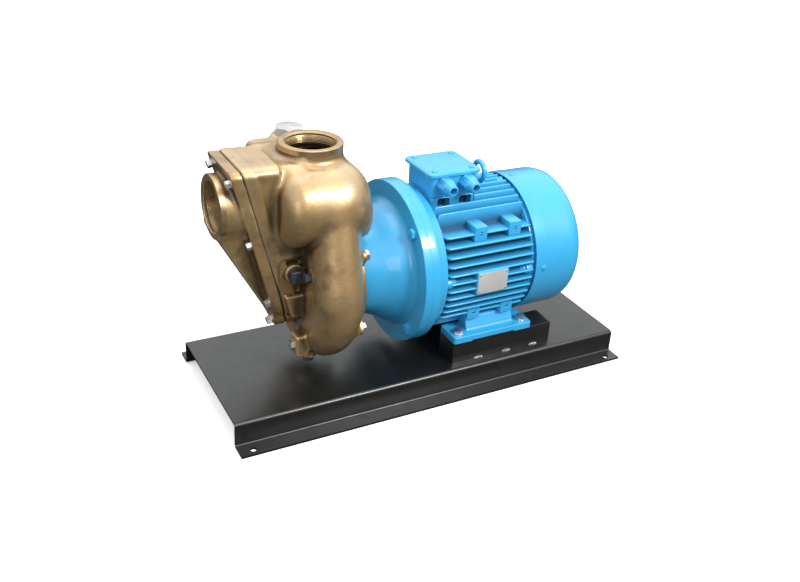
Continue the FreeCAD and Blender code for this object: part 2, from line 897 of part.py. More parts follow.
def wedge(name, inset):
    """The tapering passage that runs down the cover from the port to the toe, drawn in by an inset."""
    inset = sized(inset)
    port = size("suction_height")
    reach = size("suction_reach")
    foot = size("cover_bottom") + 17
    low = SHAFT + foot + inset * 2
    side = prism(f"{name}_side", "XZ", [
        (reach + inset, SHAFT + port - 42 + inset),
        (reach + 9 + inset, SHAFT + port - 62 + inset),
        (joint_station(foot, -(size("cover_gasket") + size("cover_thickness"))), low),
        (joint_station(foot, 0), low),
        (joint_station(port, 0), SHAFT + port),
        (reach + inset, SHAFT + port),
    ], -50, 50)
    plan = prism(f"{name}_plan", "YZ", [
        (-(9 - inset / 2), low),
        (9 - inset / 2, low),
        (27.5 - inset, SHAFT + 69),
        (39 - inset, SHAFT + port - 40),
        (39 - inset, SHAFT + port),
        (-(39 - inset), SHAFT + port),
        (-(39 - inset), SHAFT + port - 40),
        (-(27.5 - inset), SHAFT + 69),
    ], reach + inset * 3.5, -200)
    return common(name, side, plan)


def build_cover():
    """The suction cover with its threaded port and wedge, its gasket, flap valve and bolts."""
    gasket = size("cover_gasket")
    thick = size("cover_thickness")
    port = SHAFT + size("suction_height")
    reach = size("suction_reach")
    plate = common("cover_plate", prism("cover_plate_bar", "YZ", cover_outline(), -420, -200),
                   joint_slab("cover_slab", -(gasket + thick), -gasket))
    spout = rod("cover_spout", size("port_outer") / 2, 80, reach, 0, port, "X")
    body = cut("cover_body", joined("cover_solids", plate, spout, wedge("cover_wedge", 0)),
               joint_slab("cover_rear_space", -gasket, 150))
    lugs = [
        lean_box("cover_lug_right", -1, 15, -22, -13.3, 46, 57),
        lean_box("cover_lug_left", -1, 15, 13.3, 22, 46, 57),
    ]
    tools = [
        rod("cover_bore", size("port_bore") / 2, 29.5, reach - 1, 0, port, "X"),
        rod("cover_bore_relief", size("port_bore") / 2 + 2, 70, reach + 28, 0, port, "X"),
        wedge("cover_wedge_space", 8),
        rod("cover_pin_hole", 3.02, 60, cover_frame(9, 51)[0], -30, cover_frame(9, 51)[1], "Y"),
    ]
    bolts = []
    shank = thick * cosine(size("cover_tilt")) + gasket + 12
    for index, (y, z) in enumerate(cover_bolt_points()):
        hole = DOC.addObject("Part::Cylinder", f"cover_hole_{index}")
        bind(hole, Radius=size("cover_bolt") / 2 - 0.95, Height=60)
        lift = 20 * tangent(size("cover_tilt"))
        tools.append(lean(hole, False, cover_seat(z) - 20, y, SHAFT + z - lift))
        head = DOC.addObject("Part::Prism", f"cover_bolt_head_{index}")
        head.Polygon = 6
        bind(head, Circumradius=size("cover_bolt") * 0.75, Height=size("cover_bolt") * 0.9)
        stem = DOC.addObject("Part::Cylinder", f"cover_bolt_stem_{index}")
        bind(stem, Radius=size("cover_bolt") / 2 - 1, Height=shank)
        foot_x = cover_seat(z)
        lean(head, True, foot_x, y, SHAFT + z)
        lean(stem, False, foot_x, y, SHAFT + z)
        bolts.append(joined(f"cover_bolt_{index}", head, stem))
    cover = cut("suction_cover", joined("cover_blank", body, *lugs), *tools)
    node(cover, "suction_cover")
    group("cover_bolts", bolts)

    sheet = common("gasket_blank", prism("gasket_bar", "YZ", cover_outline(), -420, -200),
                   joint_slab("gasket_slab", -gasket, 0))
    holes = []
    for index, (y, z) in enumerate(cover_bolt_points()):
        hole = DOC.addObject("Part::Cylinder", f"gasket_hole_{index}")
        bind(hole, Radius=size("cover_bolt") / 2 - 0.95, Height=30)
        holes.append(lean(hole, False, cover_seat(z), y, SHAFT + z))
    node(cut("cover_gasket", sheet, suction_space("gasket_space", -230), *holes), "cover_gasket")

    flap = new_body("flap_valve")
    disc = sketch_on(flap, "YZ_Plane", GAP)
    draw_circle(disc, 0, 0, size("port_bore") / 2 + 4.1)
    pad(flap, disc, 8)
    eye = sketch_on(flap, "XZ_Plane", -12)
    draw(eye, [(4, 30), (14, 30), (14, 56), (4, 56)])
    pad(flap, eye, 24)
    bore = sketch_on(flap, "XZ_Plane", -13)
    draw_circle(bore, 9, 51, 3.04)
    pocket(flap, bore, 26, reverse=True)
    x, z = cover_frame(0, 0)
    tilt = size("cover_tilt")
    flap.Placement = FreeCAD.Placement(V(0, 0, 0), FreeCAD.Rotation(V(0, -1, 0), tilt.value))
    flap.setExpression("Placement.Rotation.Angle", tilt.text)
    place(flap, x, 0, z)
    x, z = cover_frame(9, 51)
    node(rod("flap_hinge_pin", 3, 48, x, -24, z, "Y"), "flap_hinge_pin")


def build_plugs():
    """The plugs of the casing and the bolt in its front lug."""
    flats = size("priming_plug_flats")
    top = SHAFT + 235
    head = hexagon("priming_head", flats, 14, -212, 80, top, "Z")
    bevel = taper("priming_bevel", flats * 0.78, flats * 0.5, flats * 0.28, -212, 80, top + 2, "Z")
    crown = common("priming_crown", head, joined("priming_limit", bevel, rod(
        "priming_base", flats * 0.78, 2, -212, 80, top, "Z")))
    stem = rod("priming_stem", 14.95, 20, -212, 80, top, "-Z")
    node(joined("priming_plug", crown, stem), "priming_plug")

    flats = size("side_plug_flats")
    square = box("side_square", -254 - flats / 2, -254 + flats / 2, -72, -55, SHAFT + 36 - flats / 2,
                 SHAFT + 36 + flats / 2)
    stem = rod("side_stem", 7.95, 14, -254, -55, SHAFT + 36, "Y")
    node(joined("side_plug", square, stem), "side_plug")

    front = size("volute_station") - size("volute_half_width")
    head = hexagon("vent_head", size("vent_plug_flats"), 13, front, -84, SHAFT + 41, "-X")
    stem = rod("vent_stem", 3.95, 6, front, -84, SHAFT + 41, "X")
    node(joined("vent_plug", head, stem), "vent_plug")

    head = hexagon("drain_head", size("drain_plug_flats"), 10, -212, -14, SHAFT - 155, "-Z")
    stem = rod("drain_stem", 5.95, 16, -212, -14, SHAFT - 155, "Z")
    node(joined("drain_plug", head, stem), "drain_plug")
    node(bolt("lug_bolt", 10, 18, front - 19, -52, SHAFT - 103, "-X", "X"), "lug_bolt")


def build_wet_end():
    """Back cover, wear plate, impeller, stub shaft, face seal and their fasteners."""
    back = size("volute_station") + size("volute_half_width")
    void_front = size("volute_station") - size("volute_half_width") + size("casing_wall")
    rear = back + size("back_cover_thickness")
    fit = size("running_clearance")
    spigot = size("casing_bore_radius") - fit
    cover = new_body("back_cover")
    revolution(cover, [
        (back - 15, 28),
        (back - 15, spigot),
        (back, spigot),
        (back, size("back_cover_radius")),
        (rear, size("back_cover_radius")),
        (rear, 20),
        (rear - 5, 20),
        (rear - 5, 28),
    ])
    circle = size("back_cover_bolt_circle") / 2
    ear = sketch_on(cover, "YZ_Plane", back)
    draw_circle(ear, circle, 0, 12)
    polar(cover, pad(cover, ear, size("back_cover_thickness")), size("back_cover_bolts"))
    hole = sketch_on(cover, "YZ_Plane", back - 1)
    draw_circle(hole, circle, 0, size("back_cover_bolt") / 2 + 0.05)
    polar(cover, pocket(cover, hole, size("back_cover_thickness") + 2, reverse=True),
          size("back_cover_bolts"))
    tapped = sketch_on(cover, "YZ_Plane", rear - 16)
    draw_circle(tapped, 0, size("lantern_screw_circle") / 2, 4.05)
    polar(cover, pocket(cover, tapped, 17, reverse=True), 4)
    place(cover, 0, 0, SHAFT)
    bolts = []
    for index, (y, z) in enumerate(back_bolt_points()):
        bolts.append(bolt(f"back_bolt_{index}", size("back_cover_bolt"), size("back_cover_thickness") + 8,
                          rear, y, SHAFT + z, "X", "-X"))
    group("back_cover_bolts", bolts)

    plate_rear = void_front + size("wear_plate")
    eye = size("impeller_eye_radius")
    node(turned("wear_plate", [
        (void_front, eye), (void_front, size("casing_bore_radius") - 1),
        (plate_rear, size("casing_bore_radius") - 1), (plate_rear, eye),
    ]), "wear_plate")

    vane_front = plate_rear + size("impeller_clearance")
    vane_back = vane_front + size("impeller_vane_width")
    disc_back = vane_back + size("impeller_back")
    hub_back = back - 17
    radius = size("impeller_diameter") / 2
    stub = size("stub_shaft_radius")
    impeller = new_body("impeller")
    revolution(impeller, [
        (vane_front + 5, stub + fit),
        (vane_front + 5, 22),
        (vane_back - 12, 25),
        (vane_back, 40),
        (vane_back, radius),
        (disc_back, radius),
        (disc_back, 24),
        (hub_back, 24),
        (hub_back, stub + fit),
    ])
    vane = sketch_on(impeller, "YZ_Plane", vane_front)
    thickness = size("vane_thickness")
    inner = sized(31)
    outer = radius - 4
    draw(vane, [
        (0, inner),
        (outer * cosine(28), outer * sine(28), -72),
        ((outer + thickness) * cosine(24), (outer - thickness * 0.2) * sine(24)),
        (0, inner - thickness * 1.3, 78),
    ])
    polar(impeller, pad(impeller, vane, size("impeller_vane_width") + 1), size("vane_count"))
    place(impeller, 0, 0, SHAFT)

    nut = hexagon("impeller_nut_bar", 30, 11, vane_front + 5 - 11, 0, SHAFT, "X")
    nut_bore = rod("impeller_nut_bore", 10 + fit, 13, vane_front + 5 - 12, 0, SHAFT, "X")
    node(cut("impeller_nut", nut, nut_bore), "impeller_nut")

    seal = size("seal_shaft_radius")
    sleeve = size("sleeve_radius")
    collar = rear + 3
    end = size("shaft_end") + 42
    key_top = 22 + fit
    shaft = new_body("pump_shaft")
    revolution(shaft, [
        (vane_front + 5 - 14, 0),
        (vane_front + 5 - 14, 10),
        (vane_front + 5, 10),
        (vane_front + 5, stub),
        (hub_back, stub),
        (hub_back, seal),
        (collar, seal),
        (collar, sleeve - 3),
        (collar + 3, sleeve),
        (end, sleeve),
        (end, size("shaft_radius") + fit),
        (size("shaft_end") - GAP, size("shaft_radius") + fit),
        (size("shaft_end") - GAP, 0),
    ])
    slot = sketch_on(shaft, "XY_Plane", key_top)
    draw(slot, [
        (size("shaft_end") + 1, -(5 + fit)), (end + 1, -(5 + fit)), (end + 1, 5 + fit),
        (size("shaft_end") + 1, 5 + fit),
    ])
    pocket(shaft, slot, 8)
    place(shaft, 0, 0, SHAFT)

    seat_front = rear - 5 - 8
    node(turned("seal_rotary", [
        (hub_back + 3, seal + fit), (hub_back + 3, 25), (seat_front - 4, 25), (seat_front - 4, 24),
        (seat_front - GAP, 24), (seat_front - GAP, seal + fit),
    ]), "seal_rotary")
    node(turned("seal_seat", [
        (seat_front, 19), (seat_front, 28 - fit), (rear - 5, 28 - fit), (rear - 5, 19),
    ]), "seal_seat")
    slinger = size("shaft_end") - 3
    node(turned("slinger", [
        (slinger, sleeve + fit), (slinger, 34), (slinger + 3, 38), (slinger + 5, 38), (slinger + 8, 34),
        (slinger + 8, sleeve + fit),
    ]), "slinger")


def build_lantern():
    """The conical lantern bracket between pump and motor, with the screws at both its ends."""
    rear = size("flange_joint")
    face = rear - size("lantern_flange")
    nose = size("volute_station") + size("volute_half_width") + size("back_cover_thickness")
    flange = size("flange_diameter") / 2
    root = size("lantern_root_radius")
    slim = size("lantern_nose_radius")
    wall = size("lantern_wall")
    spigot = sized(115)
    bracket = new_body("lantern_bracket")
    revolution(bracket, [
        (nose, 40),
        (nose, slim),
        (nose + 12, slim + 3),
        (rear - 63, slim + 11),
        (rear - 37, root - 2),
        (face - 7, root + 2),
        (face, root + 9, 7),
        (face, flange),
        (rear, flange),
        (rear, spigot + 0.05),
        (rear - 4.5, spigot + 0.05),
        (rear - 4.5, root - wall),
        (face - 6, root - wall),
        (rear - 37, root - wall - 3),
        (rear - 63, slim + 11 - wall),
        (nose + 12, slim + 3 - wall),
        (nose + 12, 40),
    ])
    bolt_radius = size("flange_bolt") / 2
    circle = size("flange_bolt_circle") / 2
    hole = sketch_on(bracket, "YZ_Plane", face - 1)
    draw_circle(hole, circle * cosine(45), circle * sine(45), bolt_radius + 0.05)
    polar(bracket, pocket(bracket, hole, size("lantern_flange") + 2, reverse=True), 4)
    hole = sketch_on(bracket, "YZ_Plane", nose - 1)
    draw_circle(hole, 0, size("lantern_screw_circle") / 2, 4.05)
    polar(bracket, pocket(bracket, hole, 14, reverse=True), 4)
    place(bracket, 0, 0, SHAFT)
    bolts = []
    screws = []
    for index in range(4):
        y, z = around(size("flange_bolt_circle"), 45 + 90 * index)
        bolts.append(bolt(f"flange_bolt_{index}", size("flange_bolt"), size("lantern_flange") + 15, face, y,
                          SHAFT + z, "-X", "X"))
        y, z = around(size("lantern_screw_circle"), 90 * index)
        screws.append(bolt(f"lantern_screw_{index}", 8, 12 + 15, nose + 12, y, SHAFT + z, "X", "-X"))
    group("flange_bolts", bolts)
    group("lantern_screws", screws)


def build_endshields():
    """Both motor endshields and the nuts that hold them to the frame."""
    joint = size("flange_joint")
    rear = joint + size("motor_flange")
    start = size("fin_start")
    end = size("fin_end")
    fit = size("running_clearance")
    bore = size("frame_bore_radius") - 0.1
    seat = size("bearing_outer_radius") + fit
    width = size("bearing_width")
    body = size("endshield_radius")
    shield = new_body("drive_endshield")
    revolution(shield, [
        (start - 34, 60),
        (joint + 7.7, 100),
        (joint - 4, 100),
        (joint - 4, 115),
        (joint, 115),
        (joint, size("flange_diameter") / 2),
        (rear, size("flange_diameter") / 2),
        (rear, body + 4),
        (rear + 4, body, 4),
        (start, size("fin_radius") + 0.5),
        (start, bore),
        (start + 6, bore),
        (start + 6, 97),
        (start - 14, 97),
        (start - 14, 52),
        (start, 48),
        (start, seat),
        (start - 2 - width, seat),
        (start - 2 - width, 30 + fit),
        (start - 31, 30 + fit),
        (start - 31, 22),
        (start - 34, 22),
    ])
    bolt_circle = size("flange_bolt_circle") / 2
    hole = sketch_on(shield, "YZ_Plane", joint - 1)
    draw_circle(hole, bolt_circle * cosine(45), bolt_circle * sine(45), size("flange_bolt") / 2 + 0.05)
    polar(shield, pocket(shield, hole, 16.5, reverse=True), 4)
    hole = sketch_on(shield, "YZ_Plane", start - 14)
    draw_circle(hole, 0, 122, 4.05)
    polar(shield, pocket(shield, hole, 15, reverse=True), 4)
    place(shield, 0, 0, SHAFT)

    fan_side = new_body("rear_endshield")
    ring = size("cover_radius") - 5.5
    revolution(fan_side, [
        (end - 6, 97),
        (end - 6, bore),
        (end, bore),
        (end, ring),
        (end + 29, ring),
        (end + 29, ring - 14),
        (end + 15, ring - 14),
        (end + 15, 62),
        (end + 30, 58),
        (end + 30, 17),
        (end + 26, 17),
        (end + 26, seat),
        (end + 5, seat),
        (end + 5, 52),
        (end + 3, 97),
    ])
    hole = sketch_on(fan_side, "YZ_Plane", end - 1)
    draw_circle(hole, 0, 122, 4.05)
    polar(fan_side, pocket(fan_side, hole, 13, reverse=True), 4)
    ear = sketch_on(fan_side, "XY_Plane", ring - 4)
    draw_circle(ear, end + 22, 0, 6.4)
    polar(fan_side, pad(fan_side, ear, size("cover_radius") - size("cover_sheet") - 0.1 - (ring - 4)), 4)
    hole = sketch_on(fan_side, "XY_Plane", ring - 15)
    draw_circle(hole, end + 22, 0, 3.05)
    polar(fan_side, pocket(fan_side, hole, 20, reverse=True), 4)
    place(fan_side, 0, 0, SHAFT)

    nuts = []
    for index in range(4):
        y, z = around(244, 90 * index)
        front = joined(f"front_nut_{index}",
                       hexagon(f"front_nut_hex_{index}", 13, 7, start + 14, y, SHAFT + z, "X"),
                       rod(f"front_stud_{index}", 3.98, 36, start - 12, y, SHAFT + z, "X"))
        back = joined(f"rear_nut_{index}",
                      hexagon(f"rear_nut_hex_{index}", 13, 7, end - 14, y, SHAFT + z, "-X"),
                      rod(f"rear_stud_{index}", 3.98, 35, end + 11, y, SHAFT + z, "-X"))
        nuts += [front, back]
    group("endshield_nuts", nuts)


def build_frame():
    """The finned motor frame with its cast pads and lugs."""
    start = size("fin_start")
    end = size("fin_end")
    root = size("frame_root_radius")
    tip = size("fin_radius")
    thin = size("fin_thickness") / 2
    drum = turned("frame_drum", [(start, 0), (start, root), (end, root), (end, 0)])
    envelope = turned("frame_envelope", [
        (start, 0), (start, tip - 16), (start + 8, tip), (end, tip), (end, 0),
    ])
    fins = []
    for index in range(-5, 6):
        level = SHAFT + index * size("fin_pitch")
        fins.append(box(f"side_fin_{index + 5}", start, end, -(tip + 3), tip + 3, level - thin, level + thin))
        across = index * size("top_fin_pitch")
        fins.append(box(f"top_fin_{index + 5}", start, end, across - thin, across + thin,
                        SHAFT - tip - 3, SHAFT + tip + 3))
    finned = common("frame_fins", joined("frame_fin_set", *fins), envelope)
    box_front = size("box_station") - size("box_length") / 2
    box_back = size("box_station") + size("box_length") / 2
    half = size("box_half_width")
    floor = SHAFT + size("box_floor")
    pads = [
        box("frame_pedestal", box_front + 1, box_back - 1, -(half - 1), half - 1, SHAFT + 88, floor),
        rod("frame_eye_boss", 13, 30, size("eye_station"), 0, SHAFT + 98, "Z"),
    ]
    length = size("rating_length") + 4
    height = size("rating_height") + 4
    pads.append(box("frame_plate_pad", size("rating_station") - length / 2,
                    size("rating_station") + length / 2, -(tip + 0.3), -100,
                    SHAFT + size("rating_drop") - height / 2, SHAFT + size("rating_drop") + height / 2))
    tools = [
        rod("frame_bore", size("frame_bore_radius"), 200, start - 5, 0, SHAFT, "X"),
        box("frame_pedestal_clear", box_front - 2, box_back + 6, -(half + 6), half + 6, floor, floor + 20),
        rod("frame_eye_clear", 20, 20, size("eye_station"), 0, SHAFT + 128, "Z"),
        rod("frame_eye_hole", 5.05, 16, size("eye_station"), 0, SHAFT + 114, "Z"),
        rod("frame_cable_hole", 14, 60, size("box_station"), 0, SHAFT + 90, "Z"),
    ]
    for side in (-1, 1):
        for number in range(2):
            near = box_front + 13 + number * 43
            y0, y1 = ((-(half + 2), -(half - 7)) if side < 0 else (half - 7, half + 2))
            tools.append(box(f"frame_recess_{side + 1}_{number}", near, near + 27, y0, y1,
                             floor - 29, floor - 3))
    for index in range(4):
        y, z = around(244, 90 * index)
        pads.append(rod(f"frame_front_boss_{index}", 10, 14, start, y, SHAFT + z, "X"))
        pads.append(rod(f"frame_rear_boss_{index}", 10, 14, end - 14, y, SHAFT + z, "X"))
        tools.append(rod(f"frame_front_nut_space_{index}", 9.5, 14, start + 14, y, SHAFT + z, "X"))
        tools.append(rod(f"frame_rear_nut_space_{index}", 9.5, 14, end - 28, y, SHAFT + z, "X"))
        tools.append(rod(f"frame_front_stud_hole_{index}", 4.05, 16, start - 1, y, SHAFT + z, "X"))
        tools.append(rod(f"frame_rear_stud_hole_{index}", 4.05, 16, end - 15, y, SHAFT + z, "X"))
    drop = size("lug_drop")
    face = size("lug_face")
    for number in range(2):
        station = size("lug_front") + number * size("lug_spacing")
        for side in (-1, 1):
            for rise in (-1, 1):
                tag = f"{number}{side + 1}{rise + 1}"
                y0, y1 = ((-face, -66) if side < 0 else (sized(66), face))
                centre = SHAFT + rise * drop
                pads.append(box(f"frame_lug_{tag}", station - 13, station + 13, y0, y1, centre - 14, centre + 14))
                hole = rod(f"frame_lug_hole_{tag}", 4.2, 18, station, side * (face + 1), centre,
                           "Y" if side < 0 else "-Y")
                tools.append(hole)
    node(cut("motor_frame", joined("frame_blank", drum, finned, *pads), *tools), "motor_frame")

    plate = box("rating_plate", size("rating_station") - size("rating_length") / 2,
                size("rating_station") + size("rating_length") / 2, -(tip + 1.1), -(tip + 0.3),
                SHAFT + size("rating_drop") - size("rating_height") / 2,
                SHAFT + size("rating_drop") + size("rating_height") / 2)
    node(plate, "rating_plate")
    rivets = []
    for x in (-1, 1):
        for z in (-1, 1):
            rivets.append(rod(f"plate_rivet_{x + 1}{z + 1}", 1.7, 1,
                              size("rating_station") + x * (size("rating_length") / 2 - 3.5), -(tip + 1.1),
                              SHAFT + size("rating_drop") + z * (size("rating_height") / 2 - 3.5), "-Y"))
    group("plate_rivets", rivets)

    eye = size("eye_station")
    seat = SHAFT + 128
    ring = DOC.addObject("Part::Torus", "eye_ring")
    bind(ring, Radius1=17.5, Radius2=5)
    place(ring, eye, 0, seat + 24, TURNS["X"])
    foot = rod("eye_foot", 12, 4, eye, 0, seat, "Z")
    stem = rod("eye_stem", 5, 13, eye, 0, seat, "-Z")
    node(joined("lifting_eye", ring, foot, stem), "lifting_eye")


def build_rotor():
    """Stator, rotor, shaft, bearings, seal, key and cooling fan."""
    front = size("core_start")
    back = front + size("core_length")
    fit = size("running_clearance")
    stator = size("stator_bore_radius")
    bore = size("frame_bore_radius") - 0.1
    node(turned("stator_core", [(front, stator), (front, bore), (back, bore), (back, stator)]), "stator_core")
    rings = [
        turned("winding_front", [
            (front - 25, 80), (front - 27, 84), (front - 27, 95), (front - 23, 100), (front, 100), (front, 78),
        ]),
        turned("winding_rear", [
            (back, 78), (back, 100), (back + 18, 100), (back + 21, 95), (back + 21, 84), (back + 19, 80),
        ]),
    ]
    group("stator_windings", rings)
    rotor = stator - size("air_gap")
    seat = size("rotor_seat_radius")
    node(turned("rotor_core", [
        (front - 7, 46), (front - 7, 68), (front, 68), (front, rotor), (back, rotor), (back, 68),
        (back + 7, 68), (back + 7, 46), (back, 46), (back, seat + fit), (front, seat + fit), (front, 46),
    ]), "rotor_core")

    end = size("fin_end")
    width = size("bearing_width")
    bearing = size("bearing_seat_radius")
    drive = size("shaft_radius")
    tail = size("fan_seat_radius")
    shaft = new_body("motor_shaft")
    revolution(shaft, [
        (size("shaft_end"), 0),
        (size("shaft_end"), drive - 1.5),
        (size("shaft_end") + 1.5, drive),
        (-4 - width, drive),
        (-4 - width, bearing - 0.01),
        (-2, bearing - 0.01),
        (-2, seat),
        (end + 7, seat),
        (end + 7, bearing - 0.01),
        (end + 7 + width + 1, bearing - 0.01),
        (end + 7 + width + 1, tail),
        (end + 65, tail),
        (end + 65, 0),
    ])
    slot = sketch_on(shaft, "XY_Plane", drive + 1)
    key_start = size("shaft_end") + 6
    key_end = size("shaft_end") + 38
    draw(slot, [
        (key_start - 0.05, -(5 + fit)), (key_end + 0.05, -(5 + fit)), (key_end + 0.05, 5 + fit),
        (key_start - 0.05, 5 + fit),
    ])
    pocket(shaft, slot, 6 + fit)
    place(shaft, 0, 0, SHAFT)
    node(box("shaft_key", key_start, key_end, -5, 5, SHAFT + 14, SHAFT + 22), "shaft_key")

    outer = size("bearing_outer_radius")
    ball = size("ball_radius")
    pitch = (outer + bearing) / 2 + 0.1
    outer_rings = []
    inner_rings = []
    balls = []
    for tag, station in (("drive", -(2 + width)), ("fan", end + 7)):
        centre = station + width / 2
        race = turned(f"{tag}_outer", [
            (station, 33.5), (station, outer), (station + width, outer), (station + width, 33.5),
        ])
        groove = DOC.addObject("Part::Torus", f"{tag}_outer_groove")
        bind(groove, Radius1=pitch, Radius2=ball + GAP)
        outer_rings.append(cut(f"{tag}_outer_ring", race, place(groove, centre, 0, SHAFT, TURNS["X"])))
        race = turned(f"{tag}_inner", [
            (station, bearing), (station, 27), (station + width, 27), (station + width, bearing),
        ])
        groove = DOC.addObject("Part::Torus", f"{tag}_inner_groove")
        bind(groove, Radius1=pitch, Radius2=ball + fit)
        inner_rings.append(cut(f"{tag}_inner_ring", race, place(groove, centre, 0, SHAFT, TURNS["X"])))
        for index in range(int(SIZES["ball_count"])):
            sphere = DOC.addObject("Part::Sphere", f"{tag}_ball_{index}")
            bind(sphere, Radius=ball)
            y, z = around(pitch * 2, sized(360 * index) / size("ball_count"))
            balls.append(place(sphere, centre, y, SHAFT + z))
    group("bearing_outer_rings", outer_rings)
    group("bearing_inner_rings", inner_rings)
    group("bearing_balls", balls)
    spring = end + 7 + width + 0.1
    node(turned("bearing_wave_spring", [
        (spring, 34), (spring, outer - 0.5), (spring + 0.8, outer - 0.5), (spring + 0.8, 34),
    ]), "bearing_wave_spring")
    seal = -(2 + width)
    node(turned("shaft_oil_seal", [
        (seal - 10, drive + GAP), (seal - 10, 30), (seal - 0.2, 30), (seal - 0.2, 27), (seal - 7, 27),
        (seal - 7, 23), (seal - 3, drive + GAP),
    ]), "shaft_oil_seal")

    fan = new_body("cooling_fan")
    disc = end + 33
    revolution(fan, [
        (disc, tail + fit), (disc, size("fan_radius") - 14), (disc + 3, size("fan_radius") - 14),
        (disc + 3, 26), (disc + 30, 24), (disc + 30, tail + fit),
    ])
    blade = sketch_on(fan, "YZ_Plane", disc + 2)
    draw(blade, [(-1.6, 20), (1.6, 20), (1.6, size("fan_radius")), (-1.6, size("fan_radius"))])
    polar(fan, pad(fan, blade, 34), size("fan_blades"))
    place(fan, 0, 0, SHAFT)


def build_fan_cover():
    """The pressed fan cover with its ring grille, and the screws that hold it."""
    start = size("cover_front")
    radius = size("cover_radius")
    sheet = size("cover_sheet")
    crease = start + size("cover_cylinder")
    end = start + size("cover_length")
    flat = size("cover_rear_radius")
    seam = start + size("cover_seam")
    shell = turned("fan_cover_shell", [
        (start, radius - sheet),
        (start, radius),
        (seam, radius),
        (seam + 0.6, radius - 0.6),
        (crease, radius - 0.6),
        (end - 2, flat + 3, -44),
        (end, flat - 1, -4.2),
        (end, 0),
        (end - sheet, 0),
        (end - sheet, flat - 2),
        (end - sheet - 2, flat + 1.2),
        (crease, radius - sheet - 0.6, 42),
        (seam, radius - sheet - 0.6),
        (seam - 0.6, radius - sheet),
    ])
    rings = []
    for index in range(5):
        inner = 30 + 13.6 * index
        rings.append(turned(f"grille_ring_{index}", [
            (end - sheet - 1, inner), (end - sheet - 1, inner + 8), (end + 1, inner + 8), (end + 1, inner),
        ]))
    ribs = []
    for index in range(3):
        rib = DOC.addObject("Part::Box", f"grille_rib_{index}")
        bind(rib, Length=sheet + 4, Width=7, Height=240)
        turn = FreeCAD.Rotation(V(1, 0, 0), 60 * index + 30)
        corner = turn.multVec(V(0, -3.5, -120))
        ribs.append(place(rib, end - sheet - 2, corner.y, SHAFT + corner.z, turn))
    grille = cut("fan_cover_grille", joined("grille_rings", *rings), joined("grille_ribs", *ribs))
    station = size("fin_end") + 22
    holes = []
    screws = []
    for index, (along, back, y, z) in enumerate((
        ("Y", "-Y", 1, 0), ("Z", "-Z", 0, 1), ("-Y", "Y", -1, 0), ("-Z", "Z", 0, -1),
    )):
        inner = radius - 20
        holes.append(rod(f"fan_cover_hole_{index}", 3.05, 30, station, y * inner, SHAFT + z * inner, along))
        head = rod(f"fan_cover_head_{index}", 5.5, 2.6, station, y * radius, SHAFT + z * radius, along)
        stem = rod(f"fan_cover_stem_{index}", 3, 18, station, y * radius, SHAFT + z * radius, back)
        slot = box(f"fan_cover_slot_{index}", station - 4, station + 4,
                   y * (radius + 2.2) - 0.6, y * (radius + 2.2) + 0.6,
                   SHAFT + z * (radius + 2.2) - 0.6, SHAFT + z * (radius + 2.2) + 0.6)
        screws.append(cut(f"fan_cover_screw_{index}", joined(f"fan_cover_screw_bar_{index}", head, stem), slot))
    node(cut("fan_cover", shell, grille, *holes), "fan_cover")
    group("fan_cover_screws", screws)


